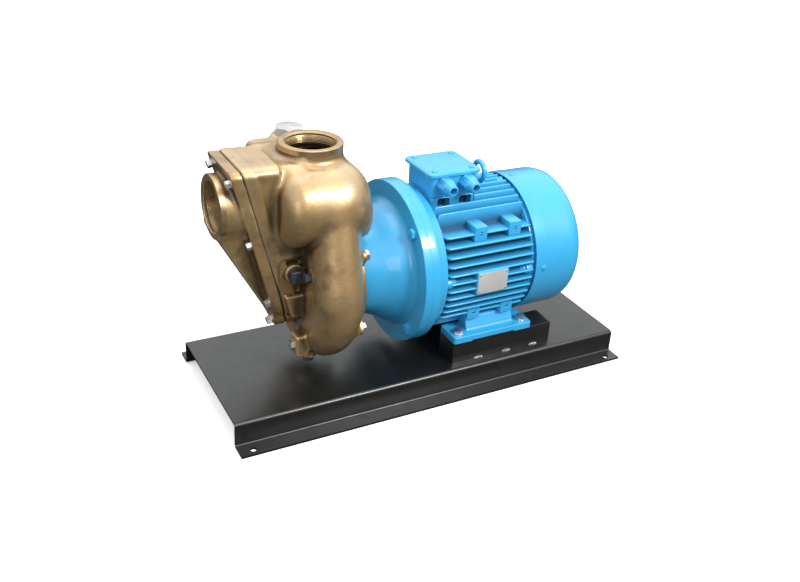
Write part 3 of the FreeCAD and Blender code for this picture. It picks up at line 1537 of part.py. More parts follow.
def build_terminal_box():
    """Terminal box, board, gasket, lid, screws and the two cable glands."""
    front = size("box_station") - size("box_length") / 2
    back = size("box_station") + size("box_length") / 2
    half = size("box_half_width")
    floor = SHAFT + size("box_floor")
    top = SHAFT + size("box_top")
    wall = sized(4)
    shell = DOC.addObject("PartDesign::Body", "terminal_box")
    node(shell, "terminal_box")
    outline = sketch_on(shell, "XY_Plane", floor)
    draw(outline, rounded_rectangle(front, back, -half, half, 8))
    pad(shell, outline, top - floor)
    room = sketch_on(shell, "XY_Plane", floor + wall)
    draw(room, rounded_rectangle(front + wall, back - wall, -(half - wall), half - wall, 4))
    pocket(shell, room, top - floor, reverse=True)
    pillars = sketch_on(shell, "XY_Plane", floor + 1)
    for x in (front + 8, back - 8):
        for y in (-(half - 8), half - 8):
            draw_circle(pillars, x, y, 6.5)
    pad(shell, pillars, top - floor - 1)
    holes = sketch_on(shell, "XY_Plane", top - 18)
    for x in (front + 8, back - 8):
        for y in (-(half - 8), half - 8):
            draw_circle(holes, x, y, 2.55)
    pocket(shell, holes, 20, reverse=True)
    cable = sketch_on(shell, "XY_Plane", floor - 1)
    draw_circle(cable, size("box_station"), 0, 14)
    pocket(shell, cable, 8, reverse=True)
    entries = sketch_on(shell, "XZ_Plane", half + 1)
    for x in gland_stations():
        draw_circle(entries, x, SHAFT + size("gland_height"), 10.05)
    pocket(shell, entries, wall + 4)

    sheet = sized(1.2)
    gasket = new_body("lid_gasket")
    outline = sketch_on(gasket, "XY_Plane", top)
    draw(outline, rounded_rectangle(front, back, -half, half, 8))
    pad(gasket, outline, sheet)
    window = sketch_on(gasket, "XY_Plane", top - 1)
    draw(window, rounded_rectangle(front + 15, back - 15, -(half - 15), half - 15, 4))
    pocket(gasket, window, 4, reverse=True)
    holes = sketch_on(gasket, "XY_Plane", top - 1)
    for x in (front + 8, back - 8):
        for y in (-(half - 8), half - 8):
            draw_circle(holes, x, y, 2.55)
    pocket(gasket, holes, 4, reverse=True)

    over = size("lid_overhang")
    lid = new_body("terminal_lid")
    outline = sketch_on(lid, "XY_Plane", top + sheet)
    draw(outline, rounded_rectangle(front - over, back + over, -(half + over), half + over, 11))
    pad(lid, outline, size("lid_height") - sheet)
    ceiling = top + size("lid_height")
    bevel(lid, 3, lambda edge: edge.BoundBox.ZMin > ceiling.value - 0.01)
    holes = sketch_on(lid, "XY_Plane", top)
    for x in (front + 8, back - 8):
        for y in (-(half - 8), half - 8):
            draw_circle(holes, x, y, 2.55)
    pocket(lid, holes, 20, reverse=True)

    screws = []
    for index, (x, y) in enumerate((
        (front + 8, -(half - 8)), (back - 8, -(half - 8)), (front + 8, half - 8), (back - 8, half - 8),
    )):
        head = rod(f"lid_screw_head_{index}", 5, 3, x, y, ceiling, "Z")
        stem = rod(f"lid_screw_stem_{index}", 2.5, 24, x, y, ceiling, "-Z")
        slot = box(f"lid_screw_slot_{index}", x - 6, x + 6, y - 0.6, y + 0.6, ceiling + 2, ceiling + 4)
        screws.append(cut(f"lid_screw_{index}", joined(f"lid_screw_bar_{index}", head, stem), slot))
    group("lid_screws", screws)

    middle = size("box_station")
    board = box("board_block", middle - 25, middle + 25, 17, 38, floor + wall, floor + wall + 12)
    studs = []
    for x in (-16, 0, 16):
        for y in (22, 33):
            studs.append(rod(f"board_stud_{x + 16}_{y}", 2, 9, middle + x, y, floor + wall + 12, "Z"))
            studs.append(hexagon(f"board_nut_{x + 16}_{y}", 8, 3, middle + x, y, floor + wall + 12, "Z"))
    node(joined("terminal_board", board, *studs), "terminal_board")

    bodies = []
    caps = []
    height = SHAFT + size("gland_height")
    bore = size("gland_bore") / 2
    for index, x in enumerate(gland_stations()):
        thread = rod(f"gland_thread_{index}", 10, 27, x, -(half - 6), height, "-Y")
        flats = hexagon(f"gland_hex_{index}", 27, 7, x, -half, height, "-Y")
        hole = rod(f"gland_hole_{index}", bore, 40, x, -(half - 8), height, "-Y")
        bodies.append(cut(f"gland_body_{index}", joined(f"gland_bar_{index}", thread, flats), hole))
        nut = hexagon(f"gland_nut_hex_{index}", 27, 16, x, -(half + 8), height, "-Y")
        dome = taper(f"gland_dome_{index}", 13, 8.5, 14, x, -(half + 24), height, "-Y")
        seat = rod(f"gland_nut_thread_{index}", 10.05, 14, x, -(half + 7.5), height, "-Y")
        hole = rod(f"gland_nut_hole_{index}", bore, 40, x, -(half + 7), height, "-Y")
        caps.append(cut(f"gland_nut_{index}", joined(f"gland_nut_bar_{index}", nut, dome), seat, hole))
    group("gland_bodies", bodies)
    group("gland_nuts", caps)


def gland_stations():
    """Stations of the two cable glands."""
    middle = size("box_station")
    half = size("gland_spacing") / 2
    return (middle - half, middle + half)


def rounded_rectangle(x0, x1, y0, y1, radius):
    """Outline of a rectangle with round corners."""
    x0, x1, y0, y1, radius = (sized(value) for value in (x0, x1, y0, y1, radius))
    return [
        (x0 + radius, y0, radius),
        (x1 - radius, y0),
        (x1, y0 + radius, radius),
        (x1, y1 - radius),
        (x1 - radius, y1, radius),
        (x0 + radius, y1),
        (x0, y1 - radius, radius),
        (x0, y0 + radius),
    ]


def build_feet():
    """The two bolted motor feet, their bolts and washers."""
    front = size("foot_hole_front") - 16.5
    back = size("foot_hole_front") + size("foot_hole_spacing") + 15.5
    spread = size("foot_hole_spread")
    top = RISER_TOP + size("foot_plate")
    lug_low = SHAFT - size("lug_drop") - 14
    foot = new_body("motor_foot_right")
    outline = sketch_on(foot, "XY_Plane", RISER_TOP)
    draw(outline, rounded_rectangle(front, back, -(spread + 17), -(spread - 39), 6))
    pad(foot, outline, size("foot_plate"))
    web = sketch_on(foot, "YZ_Plane", size("foot_hole_front") + 18)
    draw(web, [
        (-(spread + 13), RISER_TOP + 2),
        (-(spread - 31), RISER_TOP + 2),
        (-(spread - 31), lug_low),
        (-(spread - 5), lug_low),
        (-(spread - 8), lug_low - 4),
        (-(spread + 13), top),
    ])
    pad(foot, web, size("foot_hole_spacing") - 36)
    relief = sketch_on(foot, "YZ_Plane", size("foot_hole_front") + 23)
    draw(relief, [
        (-(spread + 18), RISER_TOP - 1), (-(spread - 46), RISER_TOP - 1), (-(spread - 46), RISER_TOP + 3),
        (-(spread + 18), RISER_TOP + 3),
    ])
    pocket(foot, relief, size("foot_hole_spacing") - 46, reverse=True)
    holes = sketch_on(foot, "XY_Plane", RISER_TOP - 1)
    for x in foot_hole_stations():
        draw_circle(holes, x, -spread, size("foot_bolt") / 2 + 0.5)
    pocket(foot, holes, size("foot_plate") + 2, reverse=True)
    node(mirrored("motor_foot_left", foot), "motor_foot_left")

    bolts = []
    washers = []
    for number, x in enumerate(foot_hole_stations()):
        thread = size("foot_bolt")
        piece = bolt(f"foot_bolt_{number}", thread, 2 + size("foot_plate") + 25, x, -spread, top + 2, "Z", "-Z")
        ring = rod(f"foot_washer_bar_{number}", thread, 2, x, -spread, top, "Z")
        hole = rod(f"foot_washer_hole_{number}", thread / 2 + 0.05, 4, x, -spread, top - 1, "Z")
        washer = cut(f"foot_washer_{number}", ring, hole)
        bolts += [piece, mirrored(f"foot_bolt_{number}_left", piece)]
        washers += [washer, mirrored(f"foot_washer_{number}_left", washer)]
    group("foot_bolts", bolts)
    group("foot_washers", washers)


def check_and_export():
    """Recomputes the document, checks every object and writes one file for each sub-part."""
    DOC.recompute()
    for thing in DOC.Objects:
        if "Invalid" in thing.State or "Error" in thing.State:
            raise ValueError(f"{thing.Name} is in error: {thing.State}")
    os.makedirs("parts", exist_ok=True)
    for thing in NODES:
        shape = thing.Shape
        if shape.isNull() or not shape.isValid() or not shape.Solids:
            raise ValueError(f"{thing.Label} has no valid solid")
        shape.exportStep(f"parts/{thing.Label}.step")
        print(f"{thing.Label}: {len(shape.Solids)} solids, {shape.Volume / 1000:.1f} cm3")


build_base()
build_casing()
build_cover()
build_plugs()
build_wet_end()
build_lantern()
build_endshields()
build_frame()
build_rotor()
build_fan_cover()
build_terminal_box()
build_feet()
check_and_export()
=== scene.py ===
"""Looks of a marine transfer pump set: bronze self-priming pump, blue motor and folded black base plate."""

import json
import logging
import math
from dataclasses import dataclass, field
from enum import Enum
from typing import Callable, Optional, Sequence

import bpy
import numpy as np
from mathutils import Matrix, Vector
from numpy.typing import NDArray

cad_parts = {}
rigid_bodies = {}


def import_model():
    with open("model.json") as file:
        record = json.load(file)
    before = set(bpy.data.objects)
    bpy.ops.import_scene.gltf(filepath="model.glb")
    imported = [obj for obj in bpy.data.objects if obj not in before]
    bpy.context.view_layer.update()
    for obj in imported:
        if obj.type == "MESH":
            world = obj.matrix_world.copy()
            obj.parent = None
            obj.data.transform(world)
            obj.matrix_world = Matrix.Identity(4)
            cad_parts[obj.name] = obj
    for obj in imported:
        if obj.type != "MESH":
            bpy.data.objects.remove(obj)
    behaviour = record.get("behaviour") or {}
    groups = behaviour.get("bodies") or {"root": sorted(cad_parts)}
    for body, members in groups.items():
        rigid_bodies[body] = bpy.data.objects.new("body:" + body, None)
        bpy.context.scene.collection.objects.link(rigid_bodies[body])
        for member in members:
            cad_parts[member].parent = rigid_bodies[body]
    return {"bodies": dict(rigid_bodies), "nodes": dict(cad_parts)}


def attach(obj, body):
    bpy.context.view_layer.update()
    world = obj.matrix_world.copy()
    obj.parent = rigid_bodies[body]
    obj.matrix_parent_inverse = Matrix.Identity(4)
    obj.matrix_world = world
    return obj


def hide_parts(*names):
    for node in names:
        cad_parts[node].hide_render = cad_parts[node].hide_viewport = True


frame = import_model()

Array = NDArray[np.float64]
DistanceField = Callable[[Array, Array, Array], Array]

LOG = logging.getLogger("pump_looks")
# One millimetre in metres.
MM = 0.001
# Height of the shaft above the floor, and the point on it where stations begin, in millimetres.
SHAFT = 221.0
AT_SHAFT = (0.0, 0.0, SHAFT)
# Radius of the circle that the five ears of the casing and of its back cover stand on.
EAR_CIRCLE = 119.0
# The body that every piece of this file rides on.
CARRIER = "pump_set"
# Distances at which a field is read for the relief of a vertex: beside it for its curvature, and near and far
# before it for painted shade where something lies close.
BESIDE = 5.0
NEAR = 26.0
FAR = 62.0


def clear_startup_objects() -> None:
    """Removes whatever the empty file came with, so that only the frame is left."""
    known = {obj.name for obj in frame["nodes"].values()} | {obj.name for obj in frame["bodies"].values()}
    for obj in list(bpy.data.objects):
        if obj.name not in known and obj.type in {"MESH", "LIGHT", "CAMERA"}:
            bpy.data.objects.remove(obj, do_unlink=True)


clear_startup_objects()
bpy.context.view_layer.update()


class Axis(Enum):
    """Direction that a computed surface is built along."""

    X = 0
    Y = 1
    Z = 2


# The four directions across the shaft, each an axis and a sense.
FOUR_WAYS = ((Axis.Y, 1), (Axis.Z, 1), (Axis.Y, -1), (Axis.Z, -1))


# Computed surfaces


@dataclass
class Surface:
    """A closed computed surface in millimetres.

    Args:
        points: One row per vertex.
        quads: Four vertex numbers per face.
        caps: Flat faces with any number of corners.
        normals: Shading normal of each vertex, or None to take them from the faces.
        relief: Worn edges and a painted highlight on up-facing faces above zero, painted shade in hollows and
            bores below zero, or None for neither.
    """

    points: Array
    quads: NDArray[np.int64]
    caps: list[NDArray[np.int64]] = field(default_factory=list)
    normals: Optional[Array] = None
    relief: Optional[Array] = None

    def volume(self) -> float:
        """Signed volume, positive where the faces look outwards.

        Returns:
            Sum over the faces of a sixth of the box product of each fan triangle's corners.
        """
        total = 0.0
        if len(self.quads):
            a, b, c, d = (self.points[self.quads[:, i]] for i in range(4))
            total += float(np.einsum("ij,ij->", a, np.cross(b, c)) + np.einsum("ij,ij->", a, np.cross(c, d)))
        for cap in self.caps:
            fan = self.points[cap]
            total += float(np.einsum("j,ij->", fan[0], np.cross(fan[1:-1], fan[2:])))
        return total / 6.0

    def outward(self) -> "Surface":
        """Returns: the same surface, with its faces turned to look outwards."""
        if self.volume() < 0:
            self.quads = self.quads[:, ::-1]
            self.caps = [cap[::-1] for cap in self.caps]
        return self

    def moved(self, x: float = 0.0, y: float = 0.0, z: float = 0.0) -> "Surface":
        """Returns: a copy shifted by x, y and z."""
        return Surface(self.points + np.array([x, y, z]), self.quads, self.caps, self.normals)

    def turned(self, axis: Axis, degrees: float, centre: Sequence[float] = (0.0, 0.0, 0.0)) -> "Surface":
        """A copy turned about a line parallel to an axis.

        Args:
            axis: The axis that the line is parallel to.
            degrees: Angle, anticlockwise seen from the axis's far end.
            centre: A point on the line.

        Returns:
            The turned copy.
        """
        angle = math.radians(degrees)
        one, two = [(1, 2), (2, 0), (0, 1)][axis.value]
        turn = np.eye(3)
        turn[one, one] = turn[two, two] = math.cos(angle)
        turn[two, one] = math.sin(angle)
        turn[one, two] = -math.sin(angle)
        middle = np.asarray(centre, dtype=float)
        normals = None if self.normals is None else self.normals @ turn.T
        return Surface((self.points - middle) @ turn.T + middle, self.quads, self.caps, normals)

    def mirrored(self, axis: Axis = Axis.Y) -> "Surface":
        """Returns: a mirrored copy across the plane through the origin square to the axis."""
        flip = np.ones(3)
        flip[axis.value] = -1.0
        normals = None if self.normals is None else self.normals * flip
        return Surface(self.points * flip, self.quads[:, ::-1], [cap[::-1] for cap in self.caps], normals)

    def build(self, name: str, smooth: float = 32.0) -> bpy.types.Object:
        """Makes the mesh object, in metres, at the origin.

        Args:
            name: Name of the object and its mesh.
            smooth: Edges sharper than this angle in degrees stay crisp.

        Returns:
            The linked object.
        """
        mesh = bpy.data.meshes.new(name)
        loops = np.concatenate([self.quads.ravel(), *self.caps]).astype(np.int32)
        corners = [len(cap) for cap in self.caps]
        counts = np.concatenate([np.full(len(self.quads), 4), corners]).astype(np.int32)
        starts = (np.cumsum(counts) - counts).astype(np.int32)
        mesh.vertices.add(len(self.points))
        mesh.vertices.foreach_set("co", (self.points * MM).astype(np.float32).ravel())
        mesh.loops.add(len(loops))
        mesh.loops.foreach_set("vertex_index", loops)
        mesh.polygons.add(len(counts))
        mesh.polygons.foreach_set("loop_start", starts)
        mesh.update(calc_edges=True)
        mesh.validate()
        mesh.polygons.foreach_set("use_smooth", np.ones(len(mesh.polygons), dtype=bool))
        if self.normals is None:
            mesh.set_sharp_from_angle(angle=math.radians(smooth))
        else:
            mesh.normals_split_custom_set_from_vertices(self.normals.tolist())
        if self.relief is not None:
            layer = mesh.attributes.new("relief", "FLOAT", "POINT")
            layer.data.foreach_set("value", self.relief.astype(np.float32))
        obj = bpy.data.objects.new(name, mesh)
        bpy.context.scene.collection.objects.link(obj)
        return obj


def on_circle(radius: float, degrees: float) -> tuple[float, float, float]:
    """Returns: the point at that radius and angle round the shaft, where stations begin."""
    angle = math.radians(degrees)
    return 0.0, radius * math.cos(angle), SHAFT + radius * math.sin(angle)


def merged(*parts: Surface) -> Surface:
    """Several closed surfaces as one piece.

    Args:
        parts: The surfaces, which may overlap.

    Returns:
        One surface with all their faces.
    """
    offsets = np.cumsum([0] + [len(part.points) for part in parts])
    quads = [part.quads + offset for part, offset in zip(parts, offsets)]
    caps = [cap + offset for part, offset in zip(parts, offsets) for cap in part.caps]
    normals = None
    if all(part.normals is not None for part in parts):
        normals = np.concatenate([part.normals for part in parts])
    return Surface(np.concatenate([part.points for part in parts]), np.concatenate(quads), caps, normals)


def grid(rings: Array, closed: bool = False) -> Surface:
    """A surface through a row of rings with equal point counts.

    Args:
        rings: Array of rings, points and coordinates. Each ring joins up with itself.
        closed: True if the last ring joins the first; otherwise both ends get a flat cap.

    Returns:
        The outward-facing surface.
    """
    rows, columns = rings.shape[:2]
    row = np.arange(rows if closed else rows - 1)[:, None]
    column = np.arange(columns)[None, :]
    after = (row + 1) % rows
    beside = (column + 1) % columns
    quads = np.stack([
        row * columns + column,
        row * columns + beside,
        after * columns + beside,
        after * columns + column,
    ], axis=-1).reshape(-1, 4)
    ends = [] if closed else [np.arange(columns)[::-1], (rows - 1) * columns + np.arange(columns)]
    return Surface(rings.reshape(-1, 3), quads, ends).outward()


def soften(points: Sequence[Sequence[float]], size: float | Sequence[float], steps: int = 3,
           closed: bool = True) -> Array:
    """A line with its corners rounded off.

    Each corner P between neighbours A and B becomes the quadratic curve from P + d(A - P)/|A - P| to
    P + d(B - P)/|B - P| with P as its control point, d being the corner's size or less than half a side.

    Args:
        points: Corners of the line.
        size: One corner size, or one for each corner.
        steps: Pieces in each curve.
        closed: False keeps the first and last points as they are.

    Returns:
        The rounded line's points.
    """
    corner = np.asarray(points, dtype=float)
    before = np.roll(corner, 1, axis=0) - corner
    after = np.roll(corner, -1, axis=0) - corner
    near = np.maximum(np.linalg.norm(before, axis=1), 1e-9)
    far = np.maximum(np.linalg.norm(after, axis=1), 1e-9)
    cut = np.minimum(np.broadcast_to(size, len(corner)).astype(float), np.minimum(near, far) * 0.46)
    if not closed:
        cut[0] = cut[-1] = 0.0
    t = np.linspace(0.0, 1.0, steps + 1)[None, :, None]
    start = (corner + before / near[:, None] * cut[:, None])[:, None, :]
    stop = (corner + after / far[:, None] * cut[:, None])[:, None, :]
    curve = (start * (1 - t) ** 2 + corner[:, None, :] * 2 * t * (1 - t) + stop * t ** 2).reshape(-1, 2)
    apart = np.linalg.norm(np.diff(curve, axis=0), axis=1) > 1e-6
    return curve[np.concatenate([[True], apart])]


def arc(start: Sequence[float], stop: Sequence[float], radius: float, steps: int = 12) -> Array:
    """The short anticlockwise arc between two points.

    Args:
        start: First point.
        stop: Last point.
        radius: Radius of the arc.
        steps: Pieces in the arc.

    Returns:
        Points centre + radius (cos t, sin t), without the last one.
    """
    a, b = np.asarray(start, dtype=float), np.asarray(stop, dtype=float)
    chord = b - a
    length = float(np.linalg.norm(chord))
    left = np.array([-chord[1], chord[0]]) / length
    centre = (a + b) / 2 + left * math.sqrt(max(radius ** 2 - length ** 2 / 4, 0.0))
    first = math.atan2(*(a - centre)[::-1])
    last = math.atan2(*(b - centre)[::-1])
    last += 2 * math.pi if last < first else 0.0
    t = np.linspace(first, last, steps + 1)[:-1]
    return centre + radius * np.stack([np.cos(t), np.sin(t)], axis=-1)


def round_rectangle(x0: float, x1: float, y0: float, y1: float, radius: float, steps: int = 8) -> Array:
    """A rectangle with true quarter-round corners, anticlockwise from its lower right one.

    Args:
        x0: Left side.
        x1: Right side.
        y0: Lower side.
        y1: Upper side.
        radius: Corner radius.
        steps: Pieces in each corner.

    Returns:
        Corner centre + radius (cos t, sin t) for the four quarters of a turn.
    """
    t = np.linspace(-0.5, 0.0, steps + 1)[None, :] * math.pi + np.arange(4)[:, None] * math.pi / 2
    centre = np.array([[x1 - radius, y0 + radius], [x1 - radius, y1 - radius],
                       [x0 + radius, y1 - radius], [x0 + radius, y0 + radius]])
    return (centre[:, None, :] + radius * np.stack([np.cos(t), np.sin(t)], axis=-1)).reshape(-1, 2)


def inset(outline: Array, distance: Array | float) -> Array:
    """A closed outline drawn in by a distance.

    Each corner moves along the mean of its two sides' inward normals, over one plus their dot product.

    Args:
        outline: Points of the outline.
        distance: One distance, or several for a stack of outlines.

    Returns:
        The outline, or a stack of them.
    """
    side = np.roll(outline, -1, axis=0) - outline
    side /= np.maximum(np.linalg.norm(side, axis=1, keepdims=True), 1e-9)
    normal = np.stack([-side[:, 1], side[:, 0]], axis=-1)
    area = np.sum(outline[:, 0] * np.roll(outline[:, 1], -1) - np.roll(outline[:, 0], -1) * outline[:, 1])
    normal *= 1.0 if area > 0 else -1.0
    last = np.roll(normal, 1, axis=0)
    mitre = (normal + last) / (1.0 + np.sum(normal * last, axis=1, keepdims=True))
    amount = np.asarray(distance, dtype=float)[..., None, None]
    return outline + amount * mitre


def place_ring(flat: Array, level: Array, axis: Axis) -> Array:
    """Flat outlines set at levels along an axis.

    Args:
        flat: Stack of outlines in the plane square to the axis.
        level: Level of each outline or point.
        axis: Axis that the levels are measured along.

    Returns:
        Points in space.
    """
    level = np.broadcast_to(level, flat.shape[:-1])
    one, two = flat[..., 0], flat[..., 1]
    order = {Axis.X: (level, one, two), Axis.Y: (one, level, two), Axis.Z: (one, two, level)}[axis]
    return np.stack(order, axis=-1)


def edge_stations(low: float, high: float, edge: float, steps: int = 3) -> tuple[Array, Array]:
    """Levels and insets that round both edges of a plate.

    Args:
        low: Level of one face.
        high: Level of the other face.
        edge: Radius of the rounding.
        steps: Pieces in each rounding.

    Returns:
        Levels low + edge (1 - cos t) and insets edge (1 - sin t), and the same mirrored for the other face.
    """
    t = np.linspace(0.0, math.pi / 2, steps + 1)
    drop = edge * (1 - np.cos(t))
    draw_in = edge * (1 - np.sin(t))
    return np.concatenate([low + drop, (high - drop)[::-1]]), np.concatenate([draw_in, draw_in[::-1]])


def plate(outline: Array, low: float, high: float, axis: Axis, edge: float = 1.0, steps: int = 3) -> Surface:
    """A flat piece of any outline with rounded edges.

    Args:
        outline: Outline in the plane square to the axis.
        low: Level of one face.
        high: Level of the other.
        axis: Direction of the thickness.
        edge: Radius of the edges.
        steps: Pieces in each edge.

    Returns:
        The closed surface.
    """
    level, draw_in = edge_stations(low, high, edge, steps)
    return grid(place_ring(inset(outline, draw_in), level[:, None], axis))


def pierced(outline: Array, hole: Sequence[float], radius: float, face: float, back: float, depth: float,
            axis: Axis, edge: float = 1.2) -> Surface:
    """A flat piece with a blind hole in its face.

    Each point of the outline is joined to the hole's rim in its own direction from the hole's middle.

    Args:
        outline: Outline in the plane square to the axis.
        hole: Middle of the hole.
        radius: Radius of the hole.
        face: Level of the face with the hole.
        back: Level of the other face.
        depth: Depth of the hole.
        axis: Direction of the thickness.
        edge: Radius of the face's edge.

    Returns:
        The closed surface.
    """
    sense = math.copysign(1.0, back - face)
    t = np.linspace(0.0, math.pi / 2, 4)
    level = face + sense * edge * (1 - np.cos(t))
    wall = inset(outline, edge * (1 - np.sin(t)))
    way = outline - np.asarray(hole, dtype=float)
    way /= np.linalg.norm(way, axis=1, keepdims=True)
    rim = np.asarray(hole, dtype=float) + way * np.array([radius, radius, radius + 0.4])[:, None, None]
    flat = np.concatenate([[outline], wall[::-1], rim[::-1]])
    levels = np.concatenate([[back], level[::-1], [face, face + sense * 0.4, face + sense * depth]])
    return grid(place_ring(flat, levels[:, None], axis))


def block(low: Sequence[float], high: Sequence[float], edge: float = 1.0, axis: Axis = Axis.X,
          corner: Optional[float] = None) -> Surface:
    """A box with rounded edges.

    Args:
        low: Lowest corner.
        high: Highest corner.
        edge: Radius of the two end faces' edges.
        axis: Direction between the end faces.
        corner: Radius of the four edges along the axis; the same as edge if None.

    Returns:
        The closed surface.
    """
    one, two = [index for index in range(3) if index != axis.value]
    outline = round_rectangle(low[one], high[one], low[two], high[two], max(corner or edge, 0.05), 5)
    return plate(outline, low[axis.value], high[axis.value], axis, edge)


def lathe(profile: Array, centre: Sequence[float], axis: Axis, sense: int = 1, segments: int = 128,
          closed: bool = True) -> Surface:
    """A profile turned about an axis.

    The ring of profile point (a, r) is centre + sense a along the axis and r (cos t, sin t) across it.

    Args:
        profile: Points of distance along the axis and radius.
        centre: Where distance zero is.
        axis: The axis turned about.
        sense: 1 if the profile's distance runs with the axis, -1 if against it.
        segments: Points in each ring.
        closed: True for a ring-shaped section, False for one that ends in flat discs.

    Returns:
        The closed surface.
    """
    t = np.arange(segments) * 2 * math.pi / segments
    line = np.asarray(profile, dtype=float)
    flat = line[:, 1, None, None] * np.stack([np.cos(t), np.sin(t)], axis=-1)[None]
    rings = place_ring(flat, sense * line[:, 0, None], axis)
    return grid(rings + np.asarray(centre, dtype=float), closed)


def disc(radius: float, low: float, high: float, centre: Sequence[float], axis: Axis, sense: int = 1,
         edge: float = 0.8, segments: int = 96) -> Surface:
    """A plain cylinder with rounded rims.

    Args:
        radius: Radius of the cylinder.
        low: Distance of the first face.
        high: Distance of the second face.
        centre: Where distance zero is.
        axis: Axis of the cylinder.
        sense: 1 or -1, the way the distances run.
        edge: Radius of the rims.
        segments: Points round it.

    Returns:
        The closed surface.
    """
    level, draw_in = edge_stations(low, high, edge)
    return lathe(np.stack([level, radius - draw_in], axis=-1), centre, axis, sense, segments, closed=False)


def hexagon(flats: float, low: float, high: float, centre: Sequence[float], axis: Axis, sense: int = 1,
            turn: float = 0.0, chamfer: float = 0.94, both: bool = False) -> Surface:
    """A hexagon head, with the cone chamfer of a real one.

    At angle t the wall stands at r = flats / 2 / cos(t mod 60 - 30), and the chamfer lowers the wall's
    edge by 0.58 (r - rim), rim being the radius of the flat top.

    Args:
        flats: Width across flats.
        low: Distance of the seat.
        high: Distance of the top.
        centre: Where distance zero is.
        axis: Axis of the head.
        sense: 1 or -1, the way the distances run.
        turn: Angle of the hexagon in degrees.
        chamfer: Radius of the flat top as a share of half the width across flats.
        both: True for a nut, which is chamfered at its seat as well.

    Returns:
        The closed surface.
    """
    t = np.arange(144) * 2 * math.pi / 144
    corner = np.mod(t, math.pi / 3) - math.pi / 6
    wall = flats / 2 / np.cos(corner)
    wall = np.minimum(wall, flats / 2 / math.cos(math.pi / 6) * 0.992)
    rim = flats / 2 * chamfer
    drop = np.maximum(wall - rim, 0.0) * 0.58
    radius = np.stack([np.full_like(wall, rim) if both else wall, wall, wall, np.full_like(wall, rim)])
    seat = drop if both else np.full_like(wall, 0.01)
    level = np.stack([np.full_like(wall, low), low + seat, high - drop, np.full_like(wall, high)])
    angle = t + math.radians(turn)
    flat = radius[..., None] * np.stack([np.cos(angle), np.sin(angle)], axis=-1)[None]
    return grid(place_ring(flat, sense * level, axis) + np.asarray(centre, dtype=float))


def threaded_ring(outer: float, bore: float, depth: float, wall_length: float, centre: Sequence[float],
                  axis: Axis, sense: int, pitch: float = 2.31) -> Surface:
    """The machined mouth of a port: a flat face, a short lead and thread ridges down its bore.

    The bore's radius runs bore to bore + 0.85 and back as a cosine of the depth, once each pitch.

    Args:
        outer: Outer radius.
        bore: Crest radius of the thread.
        depth: Depth of the threaded part.
        wall_length: Length of the outer wall that shows.
        centre: Middle of the face.
        axis: Axis of the port.
        sense: 1 or -1, the way inwards.
        pitch: Distance from crest to crest.

    Returns:
        The closed surface, whose relief falls below zero down the bore for painted shade there.
    """
    teeth = int((depth - 7.0) / pitch)
    run = 5.5 + np.arange(teeth * 6) * pitch / 6
    wave = 0.5 - 0.5 * np.cos(run / pitch * 2 * math.pi)
    thread = np.stack([run, bore + 0.1 + 0.75 * wave], axis=-1)
    face = soften([(0.0, bore + 2.5), (0.0, outer - 1.2), (1.2, outer)], 0.3, 2, closed=False)
    tail = np.array([(wall_length, outer), (wall_length + 1.0, outer - 3.5), (depth, outer - 4.0),
                     (depth, bore + 0.2)])
    lead = [(4.6, bore + 0.1), (2.4, bore + 0.1)]
    ring = lathe(np.concatenate([face, tail, thread[::-1], lead]), centre, axis, sense, 192)
    within = sense * (ring.points[:, axis.value] - centre[axis.value])
    off = np.delete(ring.points - np.asarray(centre, dtype=float), axis.value, axis=1)
    # Relief below zero down the bore, where the finish paints shade.
    ring.relief = np.where(np.hypot(*off.T) < bore + 2.0, -np.clip((within - 5.0) / 14.0, 0.0, 0.8), 0.0)
    return ring


# Distance fields


def rounded_and(radius: float, *parts: Array) -> Array:
    """The common part of square-standing fields with rounded edges.

    Args:
        radius: Radius of the edges.
        parts: Distance fields.

    Returns:
        min(max(parts) + radius, 0) + |positive parts of (parts + radius)| - radius.
    """
    highest = parts[0] + radius
    total = np.square(np.maximum(parts[0] + radius, 0.0))
    for part in parts[1:]:
        highest = np.maximum(highest, part + radius)
        total = total + np.square(np.maximum(part + radius, 0.0))
    return np.minimum(highest, 0.0) + np.sqrt(total) - radius


def blend(first: Array, second: Array, size: float) -> Array:
    """Joins two fields with a cast fillet.

    Args:
        first: One distance field.
        second: The other.
        size: Width of the fillet.

    Returns:
        Their polynomial smooth minimum.
    """
    share = np.clip(0.5 + 0.5 * (second - first) / size, 0.0, 1.0)
    return second * (1 - share) + first * share - size * share * (1 - share)


def carve(solid: Array, tool: Array, size: float = 1.5) -> Array:
    """Takes a tool out of a solid, with a small edge radius.

    Args:
        solid: Distance field of the solid.
        tool: Distance field of the tool.
        size: Width of the rounding at the edge.

    Returns:
        The smooth maximum of the solid and the tool turned inside out.
    """
    return -blend(-solid, tool, size)


def beside(place: tuple[float, float], first: Array, second: Array) -> Array:
    """Distance from a line that runs along one axis.

    Args:
        place: The line's coordinates along the two other axes.
        first: Coordinates along the first of them.
        second: Coordinates along the second.

    Returns:
        The distance at each pair of coordinates.
    """
    return np.hypot(first - place[0], second - place[1])


